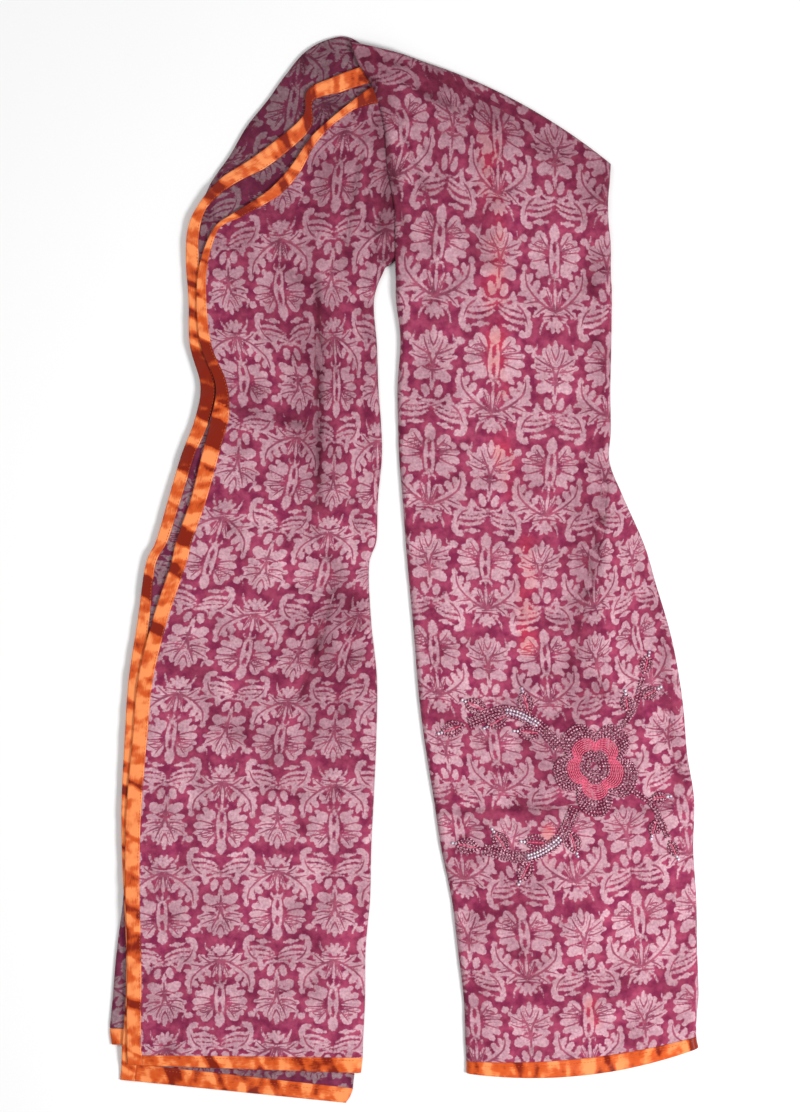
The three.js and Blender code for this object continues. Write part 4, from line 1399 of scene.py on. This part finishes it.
def shaded(x, y, shades):
    light = np.ones_like(x)
    for start, middle, end, half, left in shades:
        away = np.full_like(x, np.inf)
        for _, distance, _ in along_bend(x, y, (start, middle, end), BEND_STEPS):
            away = np.minimum(away, distance)
        light = light * mix(1.0, left, np.exp(-((away / half) ** 2)))
    return light


def left_light(x, y):
    light = LEFT_LIGHT * laid_shading(x, y, LEFT_CREASES, LEFT_RIPPLE_SEED) * shaded(x, y, LEFT_SHADES)
    light = light * mix(1.0, UPPER_SHADE, smooth((y - UPPER_SHADE_END) / UPPER_SHADE_REACH))
    return light * mix(1.0, NECK_SHADE, smooth((y - NECK_SHADE_START) / NECK_SHADE_REACH))


def right_light(x, y):
    return RIGHT_LIGHT * laid_shading(x, y, RIGHT_CREASES, RIGHT_RIPPLE_SEED) * shaded(x, y, RIGHT_SHADES)


def voile_values(lattice, x, y, light, tint=0.0):
    return {**damask(lattice, x, y), "light": light, "tint": np.zeros_like(x) + tint}


# ---- The left stretch ----

NECK_ROW = len(LEG_SECTIONS) + 2


def left_front(materials):
    guides = left_guides("front")
    rows = np.concatenate([even_rows(guides, 1, NECK_ROW, LEFT_PITCH),
                           even_rows(guides, NECK_ROW, guides["last"], LEFT_PITCH * NECK_PITCH_SHARE)[1:]])
    length = section_lengths(guides, rows)
    inset, kept = turned_columns(FOLD_RADIUS)
    flat = spread(guides["band"](rows) - RIBBON_LAP, length - FOLD_RADIUS, LEFT_PITCH)
    distance = np.concatenate([flat, length[:, None] - inset[None, :]], axis=1)
    x, y = on_sections(guides, rows, distance)
    z = FRONT_TOP + left_lift(x, y)
    z[:, flat.shape[1]:] *= kept
    z = np.maximum(z, LOWEST_FACE)
    # Painted light and shade, darker still where the cloth rolls over at its edge
    light = left_light(x, y)
    light[:, flat.shape[1]:] *= mix(FOLD_SHADE, 1.0, kept)
    return thin_sheet("left_front_voile", grid_of(x, y, z), VOILE_THICK, materials["right_side"],
                      (distance, cloth_run(guides, rows, x)), voile_values(LEFT_LATTICE, x, y, light))


# The second layer: how far in from its ribbon it is fine, how much of its far side is coarse at least,
# and how its print lies beside the front layer's
SECOND_FINE = 90
SECOND_COARSE = 20
SECOND_PRINT = (20, -30)


def left_second(materials):
    guides = left_guides("second")
    rows = even_rows(guides, 1, guides["last"], DULL_PITCH)
    start = guides["band"](rows) - RIBBON_LAP
    end = section_lengths(guides, rows) - guides["inset"](rows)
    middle = np.minimum(start + SECOND_FINE, end - SECOND_COARSE)
    near = spread(start, middle, DULL_PITCH)
    far = spread(middle, end, HIDDEN_PITCH)[:, 1:]
    distance = np.concatenate([near, far], axis=1)
    x, y = on_sections(guides, rows, distance)
    z = SECOND_TOP + left_lift(x, y)
    values = voile_values(LEFT_LATTICE, x + SECOND_PRINT[0], y + SECOND_PRINT[1], left_light(x, y))
    return thin_sheet("left_second_voile", grid_of(x, y, z), VOILE_THICK, materials["wrong_side_and_painted_shade"],
                      (distance, cloth_run(guides, rows, x)), values)


# ---- Ribbons ----

# Seams: how far they stand in from a ribbon's inner edge, which row of sections they follow across an
# end and how deep they sink there, between which distances, and how far they stand up
SEAM_INSET = 1.5
HEM_SEAM_ROW = 0.86
HEM_SEAM_SINK = 0.1
FRONT_HEM_SEAM = (4, 236)
SECOND_HEM_SEAM = (20, 234)
STITCH_RISE = 0.12

# Cockling of a sewn ribbon: the lengths of its waves, and how far they lie aslant
COCKLE_LENGTHS = (9, 14, 21, 33)
COCKLE_SLANT = 0.5

# Painted sheen of the satin face: all over, by its cockling, and painted shade in its dark stretches
FACE_LIGHT = 0.74
FACE_SWING = 0.26
FACE_SEED_STEP = 40
DARK_SHARE = 0.78
DARK_SLANT = 0.5
DARK_FADE = 5

# Each ribbon cockles by a seed of its own
FRONT_EDGE_SEED = 11
SECOND_EDGE_SEED = 13
FRONT_HEM_SEED = 21
SECOND_HEM_SEED = 23
RIGHT_HEM_SEED = 17
UNDER_HEM_SEED = 9

# Dark stretches of painted shade on the satin, each from and to a length along the ribbon, with its depth
LEFT_FRONT_DARKS = [(12, 20, 0.6), (60, 74, 0.5), (112, 148, 0.6), (156, 172, 0.5), (196, 206, 0.4),
                    (236, 246, 0.5), (292, 300, 0.7), (348, 354, 0.4), (404, 412, 0.4), (452, 468, 0.8),
                    (516, 532, 0.8), (548, 572, 0.9), (600, 606, 0.5), (632, 642, 0.6), (656, 690, 0.9),
                    (700, 776, 0.95), (812, 822, 0.5), (850, 858, 0.6), (880, 894, 0.5), (914, 946, 0.7),
                    (968, 984, 0.8), (1016, 1032, 0.8), (1046, 1054, 0.7), (1092, 1140, 0.9)]
LEFT_SECOND_DARKS = [(14, 24, 0.5), (66, 80, 0.6), (128, 140, 0.4), (186, 196, 0.6), (240, 248, 0.5),
                     (296, 312, 0.8), (360, 366, 0.5), (440, 446, 0.5), (504, 532, 0.9), (566, 572, 0.5),
                     (604, 612, 0.5), (640, 676, 0.8), (700, 782, 0.95), (806, 820, 0.8), (838, 850, 0.7),
                     (884, 892, 0.4), (934, 962, 0.7), (1030, 1050, 0.6), (1068, 1112, 0.95),
                     (1128, 1140, 0.6), (1156, 1190, 0.5)]
RIGHT_HEM_DARKS = [(12, 18, 0.4), (52, 68, 0.5), (98, 106, 0.4), (146, 158, 0.6), (200, 208, 0.5),
                   (233, 262, 0.9)]
UNDER_HEM_DARKS = [(4, 9, 0.4), (60, 80, 0.5)]

# Ribbons across the ends: where they start beside the edge ribbon, the row of sections that they reach,
# and how much darker their painted sheen is
HEM_START = RIBBON_WIDTH - 0.6
HEM_TOP_ROW = 1.06
SECOND_HEM_TOP_ROW = 1.03
HEM_PAINTED_SHADE = 0.1
RIGHT_HEM_SINK = 0.2
RIGHT_HEM_COCKLE = 0.25

# Dark stretches of painted shade on the left hems, worked out by number: their pitch, where the first one
# starts and ends, and by how much the others wander
HEM_DARK_COUNT = 7
HEM_DARK_PITCH = 37
HEM_DARK_STARTS = (20, 9)
HEM_DARK_ENDS = (30, 11)
HEM_DARK_DEPTH = 0.5


def ribbon_waves(place, across, seed):
    """Small cockling of a sewn ribbon, and the painted sheen of its face that goes with it."""
    draw = np.random.default_rng(seed)
    height = np.zeros_like(place)
    for length in COCKLE_LENGTHS:
        phase = draw.uniform(0, 2 * math.pi)
        slant = draw.uniform(-COCKLE_SLANT, COCKLE_SLANT)
        wave = np.sin((place + slant * across) * 2 * math.pi / length + phase)
        height += wave * length / COCKLE_LENGTHS[-1]
    return height / 2


def painted_satin_sheen(place, across, darks, seed):
    """Painted sheen of the satin face: 1 a painted highlight, 0 painted shade. darks are stretches, each
    with its depth.
    """
    turn = FACE_LIGHT + FACE_SWING * ribbon_waves(place, across, seed + FACE_SEED_STEP)
    aslant = place + across * DARK_SLANT
    for start, end, depth in darks:
        edge = smooth((aslant - start) / DARK_FADE) * smooth((end - aslant) / DARK_FADE)
        turn = turn - DARK_SHARE * depth * edge
    return turn


def edge_ribbon_places(guides, rows, distance, level, seed):
    """Where the face of an edge ribbon lies, and how far along the ribbon each place is."""
    x, y = on_sections(guides, rows, distance)
    place = np.broadcast_to(run_along(guides["left"](rows))[:, None], x.shape)
    share = distance / guides["band"](rows)[:, None]
    crown = RIBBON_CROWN * np.sqrt(np.clip(4 * share * (1 - share), 0, 1))
    cockle = RIBBON_COCKLE * ribbon_waves(place, distance, seed)
    z = level + RIBBON_LIFT + left_lift(x, y) + crown - RIBBON_CROWN + cockle
    return x, y, z, place


def edge_seam(layer, level, seed):
    """The row of stitches near the inner edge of an edge ribbon."""
    guides = left_guides(layer)
    rows = even_rows(guides, 1, guides["last"], RIBBON_PITCH)
    distance = guides["band"](rows)[:, None] - SEAM_INSET
    x, y, z, _ = edge_ribbon_places(guides, rows, distance, level, seed)
    return np.concatenate([x, y, z + STITCH_RISE], axis=1)


def hem_seam(layer, between_places, level):
    """The row of stitches across a hem ribbon, along one section."""
    distance = np.arange(*between_places, RIBBON_PITCH)[None, :]
    x, y = on_sections(left_guides(layer), np.full(1, HEM_SEAM_ROW), distance)
    z = level + RIBBON_LIFT - HEM_SEAM_SINK + left_lift(x, y)
    return np.stack([x[0], y[0], z[0] + STITCH_RISE], axis=1)


def edge_ribbon(name, layer, level, darks, seed, material):
    guides = left_guides(layer)
    rows = even_rows(guides, 0, guides["last"], RIBBON_PITCH)
    distance = spread(np.zeros(len(rows)), guides["band"](rows), RIBBON_PITCH)
    x, y, z, place = edge_ribbon_places(guides, rows, distance, level, seed)
    # turn carries the satin's painted sheen and painted shade
    values = {"turn": painted_satin_sheen(place, distance, darks, seed)}
    return thin_sheet(name, grid_of(x, y, z), RIBBON_THICK, material, (distance, place),
                      values)


def hem_darks(seed):
    """Dark stretches of painted shade on a left hem, unevenly apart."""
    start, start_swing = HEM_DARK_STARTS
    end, end_swing = HEM_DARK_ENDS
    return [(start + HEM_DARK_PITCH * step + start_swing * math.sin(step * seed),
             end + HEM_DARK_PITCH * step + end_swing * math.cos(step + seed), HEM_DARK_DEPTH)
            for step in range(HEM_DARK_COUNT)]


def hem_ribbon(name, layer, top, level, seed, material, turned=True):
    """A ribbon across an end: it runs from the hem's edge to the cloth's edge."""
    guides = left_guides(layer)
    rows = even_rows(guides, 0, top, RIBBON_PITCH)
    length = section_lengths(guides, rows)
    inset, kept = turned_columns(FOLD_RADIUS)
    end = length - FOLD_RADIUS if turned else length
    distance = flat = spread(np.zeros(len(rows)) + HEM_START, end, HEM_PITCH)
    if turned:
        distance = np.concatenate([flat, length[:, None] - inset[None, :]], axis=1)
    x, y = on_sections(guides, rows, distance)
    across = cloth_run(guides, rows, x)
    cockle = RIBBON_COCKLE * ribbon_waves(distance, across, seed)
    z = level + RIBBON_LIFT - RIBBON_CROWN + left_lift(x, y) + cockle
    if turned:
        z[:, flat.shape[1]:] *= kept
    z = np.maximum(z, LOWEST_FACE)
    # turn carries the satin's painted sheen, made darker on the hems as painted shade
    values = {"turn": painted_satin_sheen(distance, across, hem_darks(seed), seed) - HEM_PAINTED_SHADE}
    return thin_sheet(name, grid_of(x, y, z), RIBBON_THICK, material, (across, distance),
                      values)


# ---- Hidden layers ----

# How a rounded solid rises at its sides: how far in, and the share of its height
SOLID_TURN = ((0.0, 0.0), (0.0, 0.4), (0.5, 0.62), (1.2, 0.8), (2.8, 0.93), (5.0, 1.0))
LEFT_UNDER_RISE = 0.3
LEFT_UNDER_PRINT = (8, 20)
RIGHT_UNDER_PRINT = (9, 14)
UNDER_HEM_TOP_ROW = 0.98


def rounded_solid(name, x, y, z, material, uv, values):
    """Hidden layers as one closed rounded form: its upper side falls to the floor all round."""
    return shell(name, grid_of(x, y, z), grid_of(x, y, np.zeros_like(z)), material, uv, values,
                 stride=SOLID_STRIDE)


def solid_distances(start, end, pitch):
    insets = np.array([inset for inset, _ in SOLID_TURN])
    heights = np.array([height for _, height in SOLID_TURN])
    flat = spread(start + insets[-1], end - insets[-1], pitch)[:, 1:-1]
    distance = np.concatenate([start[:, None] + insets, flat, (end[:, None] - insets)[:, ::-1]], axis=1)
    kept = np.concatenate([heights, np.ones(flat.shape[1]), heights[::-1]])
    return distance, kept


def left_under_form(name, first, last, material, slot):
    guides = left_guides("under")
    rows = even_rows(guides, first, last, DULL_PITCH)
    length = section_lengths(guides, rows)
    distance, kept = solid_distances(np.zeros(len(rows)), length - SIDE_INSET, DULL_PITCH)
    x, y = on_sections(guides, rows, distance)
    z = np.maximum((LEFT_UNDER_TOP + relief(x, y) + LEFT_UNDER_RISE) * kept, FLOOR_CLEAR)
    cloth_v = cloth_run(guides, rows, x)
    if slot == "voile":
        values = voile_values(LEFT_LATTICE, x + LEFT_UNDER_PRINT[0], y + LEFT_UNDER_PRINT[1],
                              left_light(x, y))
    else:
        # turn carries the satin's painted sheen and painted shade
        values = {"turn": painted_satin_sheen(distance, cloth_v, UNDER_HEM_DARKS, UNDER_HEM_SEED)}
    return rounded_solid(name, x, y, z, material, (distance, cloth_v), values)


def left_under(materials):
    last = left_guides("under")["last"]
    # The lowest layers take the darker voile as painted shade where they lie under the others
    return (left_under_form("left_under_voile", 1, last, materials["wrong_side_and_painted_shade"], "voile"),
            left_under_form("left_under_hem", 0, UNDER_HEM_TOP_ROW, materials["satin"], "satin_ribbon"))


# ---- The right stretch ----

# Its front layer rolls over the slanting fold at the top. Where it lies on the neck it stops above it.
ROLL_ROW_PITCH = 22
ROLL_WIDTH = 7
ROLL_FOOT = 2
ROLL_NECK_AIR = 1.5
NECK_SIDE_CLEAR = 20
NECK_SIDE_OVER = -5
ON_NECK_AIR = 0.6


def right_height(guides, rows, x, y):
    crossing = guides["crossing"](rows)[:, None]
    to_top = (guides["last"] - rows) * ROLL_ROW_PITCH
    turn = 1 - clamp01(to_top / ROLL_WIDTH)
    roll = np.sqrt(1 - turn * turn)[:, None]
    neck = FRONT_TOP + AIR + relief(x, y) + ROLL_NECK_AIR
    on_neck = clamp01((NECK_SIDE_CLEAR - x) / (NECK_SIDE_CLEAR - NECK_SIDE_OVER))
    foot = mix(ROLL_FOOT, neck, on_neck)
    level = RIGHT_TOP + CROSSING_LIFT * crossing + right_lift(x, y)
    return mix(foot, level, roll)


def right_distances(guides, rows, pitch):
    length = section_lengths(guides, rows)
    inset, kept = turned_columns(FOLD_RADIUS)
    flat = spread(np.full(len(rows), FOLD_RADIUS), length - FOLD_RADIUS, pitch)
    left_turn = np.broadcast_to(inset[::-1], (len(rows), TURN_STEPS))
    distance = np.concatenate([left_turn, flat, length[:, None] - inset[None, :]], axis=1)
    share = np.concatenate([kept[::-1], np.ones(flat.shape[1]), kept])
    return distance, share


def right_surface(guides, rows, distance, share):
    x, y = on_sections(guides, rows, distance)
    z = right_height(guides, rows, x, y)
    on_neck = guides["on_neck"](rows)[:, None] * (distance < distance[:, -1:] / 2)
    neck = FRONT_TOP + ON_NECK_AIR + left_lift(x, y)
    foot = on_neck * neck
    z = foot + (z - foot) * share
    return x, y, np.maximum(z, LOWEST_FACE)


# Where the hidden ribbons glow through the right stretch: along, then half width
GLOWS = [
    ((86, 450), (92, 315), (96, 190), 14),
    ((97, 140), (102, 112), (112, 84), 12),
    ((125, 27), (126, -20), (127, -78), 12),
    ((147, -270), (148, -285), (150, -300), 9),
    ((193, -450), (194, -458), (196, -470), 9),
]
GLOW_RISE = 0.3


def glow(x, y):
    value = np.zeros_like(x)
    for start, middle, end, half in GLOWS:
        inside = stroke(x, y, (start, middle, end), half, half, half)
        value = np.maximum(value, smooth(inside / half + GLOW_RISE))
    return value


# Near the outer corner of the neck the cloth is bunched, and its print turns with the creases
GATHER_MIDDLE = (-18, 520)
GATHER_REACH = 92
GATHER_TURN = 0.75


def gathered(x, y):
    off_x = x - GATHER_MIDDLE[0]
    off_y = y - GATHER_MIDDLE[1]
    turn = GATHER_TURN * np.exp(-(off_x ** 2 + off_y ** 2) / GATHER_REACH ** 2)
    return (GATHER_MIDDLE[0] + off_x * np.cos(turn) + off_y * np.sin(turn),
            GATHER_MIDDLE[1] - off_x * np.sin(turn) + off_y * np.cos(turn))


def right_front(materials):
    guides = right_guides()
    rows = even_rows(guides, 1, guides["last"], RIGHT_PITCH)
    distance, share = right_distances(guides, rows, RIGHT_PITCH)
    x, y, z = right_surface(guides, rows, distance, share)
    # Painted light and shade, darker still where the cloth rolls over at its edges
    light = right_light(x, y) * mix(FOLD_SHADE, 1.0, share)
    values = voile_values(RIGHT_LATTICE, *gathered(x, y), light, glow(x, y))
    return thin_sheet("right_front_voile", grid_of(x, y, z), VOILE_THICK, materials["right_side"],
                      (distance, cloth_run(guides, rows, x)), values)


def right_hem(materials):
    guides = right_guides()
    rows = even_rows(guides, 0, HEM_TOP_ROW, RIBBON_PITCH)
    distance, share = right_distances(guides, rows, HEM_PITCH)
    x, y, z = right_surface(guides, rows, distance, share)
    across = cloth_run(guides, rows, x)
    cockle = RIGHT_HEM_COCKLE * ribbon_waves(distance, across, RIGHT_HEM_SEED)
    z = z + (RIBBON_LIFT - RIGHT_HEM_SINK + cockle) * share
    # turn carries the satin's painted sheen, made darker on the hem as painted shade
    values = {"turn": painted_satin_sheen(distance, across, RIGHT_HEM_DARKS, RIGHT_HEM_SEED) - HEM_PAINTED_SHADE}
    return thin_sheet("right_hem_ribbon", grid_of(x, y, z), RIBBON_THICK, materials["satin"],
                      (across, distance), values)


def right_hem_seam():
    guides = right_guides()
    rows = np.full(1, HEM_SEAM_ROW)
    end = section_lengths(guides, rows)[0] - FOLD_RADIUS
    distance = np.arange(FOLD_RADIUS, end, RIBBON_PITCH)[None, :]
    x, y, z = right_surface(guides, rows, distance, np.ones_like(distance))
    return np.stack([x[0], y[0], z[0] + RIBBON_LIFT + STITCH_RISE], axis=1)


def ribbon_stitches(materials):
    seams = [
        edge_seam("front", FRONT_TOP, FRONT_EDGE_SEED),
        edge_seam("second", SECOND_TOP, SECOND_EDGE_SEED),
        hem_seam("front", FRONT_HEM_SEAM, FRONT_TOP),
        hem_seam("second", SECOND_HEM_SEAM, SECOND_TOP),
        right_hem_seam(),
    ]
    set_along("ribbon_stitches", seams, thread_element, materials["stitch"],
              STITCH_SIZES)


# The low end of the hidden layers: rows of sections, each with the share of the height that it has
RIGHT_UNDER_END = [(0.1, 0.05), (0.12, 0.3), (0.3, 0.32), (0.34, 0.34), (0.36, 0.62), (0.6, 0.64),
                   (0.64, 0.66), (0.66, 0.97)]


def right_under(materials):
    guides = right_guides()
    full = even_rows(guides, 1, guides["last"] - 1, HIDDEN_PITCH)
    rows = np.concatenate([[row for row, _ in RIGHT_UNDER_END], full])
    heights = np.concatenate([[height for _, height in RIGHT_UNDER_END], np.ones(len(full))])
    length = section_lengths(guides, rows)
    distance, kept = solid_distances(guides["backset"](rows), length - SIDE_INSET, HIDDEN_PITCH)
    x, y = on_sections(guides, rows, distance)
    base = RIGHT_UNDER_TOP + CROSSING_LIFT * guides["crossing"](rows)[:, None]
    z = np.maximum((base + relief(x, y)) * heights[:, None] * kept, FLOOR_CLEAR)
    values = voile_values(RIGHT_LATTICE, x + RIGHT_UNDER_PRINT[0], y + RIGHT_UNDER_PRINT[1],
                          np.full_like(x, HIDDEN_LIGHT))
    return rounded_solid("right_under_voile", x, y, z, materials["wrong_side_and_painted_shade"],
                         (distance, cloth_run(guides, rows, x)), values)


def build_materials():
    coral = (srgb(206, 62, 92), srgb(234, 164, 164))
    return {
        "right_side": voile("voile_right_side", (srgb(142, 40, 83), srgb(184, 77, 112)),
                            (srgb(203, 156, 172), srgb(230, 188, 197)), coral),
        # A darker copy of the voile: the wrong side of the second layer, and painted shade on the lower
        # layers that lie under the others
        "wrong_side_and_painted_shade": voile("voile_wrong_side", (srgb(116, 36, 72), srgb(138, 54, 86)),
                            (srgb(146, 116, 126), srgb(172, 142, 148)), coral),
        # Bright, middle and dark satin: painted sheen and painted shade of one orange ribbon
        "satin": satin("satin_ribbon", srgb(246, 146, 86), srgb(206, 84, 30), srgb(126, 26, 2)),
        # Each sequin material's bright colour is its painted glint
        "sequin": sequin("plum_sequin", srgb(146, 56, 88), srgb(240, 180, 198), threshold=0.58),
        "pale_sequin": sequin("lilac_sequin", srgb(186, 150, 196), srgb(250, 244, 252), threshold=0.44),
        "thread": sewing_thread("coral_thread", srgb(222, 96, 126), roughness=0.65),
        "stitch": sewing_thread("orange_thread", srgb(206, 92, 40), roughness=0.6),
    }


# ---- Camera, floor and light ----

VIEW_CENTRE = (-6.4, 15.5)
VIEW_HEIGHT = 1156.5
LENS = 85
SENSOR = 36
VIEW_LEVEL = 8
FLOOR_SIZE = 60
FLOOR_LEVEL = -0.0002
FLOOR_FINISH = {"Base Color": srgb(246, 246, 246), "Roughness": 0.9}
SKY_STRENGTH = 0.42

# Lights: where each stands in metres, how wide it is, and its power
LIGHTS = {"key": ((1.5, -0.6, 1.5), 0.7, 48), "fill": ((-1.5, 0.7, 2.0), 1.6, 16)}


def make_camera():
    data = bpy.data.cameras.new("camera")
    data.lens = LENS
    data.sensor_width = SENSOR
    camera = bpy.data.objects.new("camera", data)
    distance = VIEW_HEIGHT / SENSOR * LENS + VIEW_LEVEL
    camera.location = (VIEW_CENTRE[0] * MM, VIEW_CENTRE[1] * MM, distance * MM)
    bpy.context.collection.objects.link(camera)
    bpy.context.scene.camera = camera


def make_floor():
    bpy.ops.mesh.primitive_plane_add(size=FLOOR_SIZE, location=(0, 0, FLOOR_LEVEL))
    floor = bpy.context.object
    floor.name = "floor"
    floor.data.materials.append(new_material("floor_paper", FLOOR_FINISH)[0])


def make_lights():
    bpy.context.scene.view_settings.view_transform = "Standard"
    world = bpy.data.worlds.new("studio")
    bpy.context.scene.world = world
    world.use_nodes = True
    sky = world.node_tree.nodes["Background"]
    sky.inputs["Color"].default_value = (1, 1, 1, 1)
    sky.inputs["Strength"].default_value = SKY_STRENGTH
    for name, (place, size, energy) in LIGHTS.items():
        data = bpy.data.lights.new(name, "AREA")
        data.shape = "DISK"
        data.size = size
        data.energy = energy
        light = bpy.data.objects.new(name, data)
        light.location = place
        towards = -np.array(place)
        light.rotation_euler = (math.acos(-towards[2] / np.linalg.norm(towards)), 0,
                                math.atan2(towards[1], towards[0]) - math.pi / 2)
        bpy.context.collection.objects.link(light)


def main():
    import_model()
    make_camera()
    make_floor()
    make_lights()
    materials = build_materials()
    front = left_front(materials)
    second = left_second(materials)
    under, under_hem = left_under(materials)
    right = right_front(materials)
    right_hidden = right_under(materials)
    ribbon_a = edge_ribbon("left_front_edge_band", "front", FRONT_TOP, LEFT_FRONT_DARKS, FRONT_EDGE_SEED,
                           materials["satin"])
    ribbon_b = edge_ribbon("left_second_edge_band", "second", SECOND_TOP, LEFT_SECOND_DARKS,
                           SECOND_EDGE_SEED, materials["satin"])
    hem_a = hem_ribbon("left_front_hem_band", "front", HEM_TOP_ROW, FRONT_TOP, FRONT_HEM_SEED,
                       materials["satin"])
    hem_b = hem_ribbon("left_second_hem_band", "second", SECOND_HEM_TOP_ROW, SECOND_TOP, SECOND_HEM_SEED,
                       materials["satin"], turned=False)
    hem_c = right_hem(materials)
    spray(materials)
    ribbon_stitches(materials)
    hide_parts("left_front_cloth")
    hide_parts("left_second_cloth")
    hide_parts("left_under_layers")
    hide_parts("left_under_hem_ribbon")
    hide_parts("right_front_cloth")
    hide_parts("right_under_layers")
    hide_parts("left_front_edge_ribbon")
    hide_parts("left_second_edge_ribbon")
    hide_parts("left_front_hem_ribbon")
    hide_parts("left_second_hem_ribbon")
    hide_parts("right_front_hem_ribbon")


main()
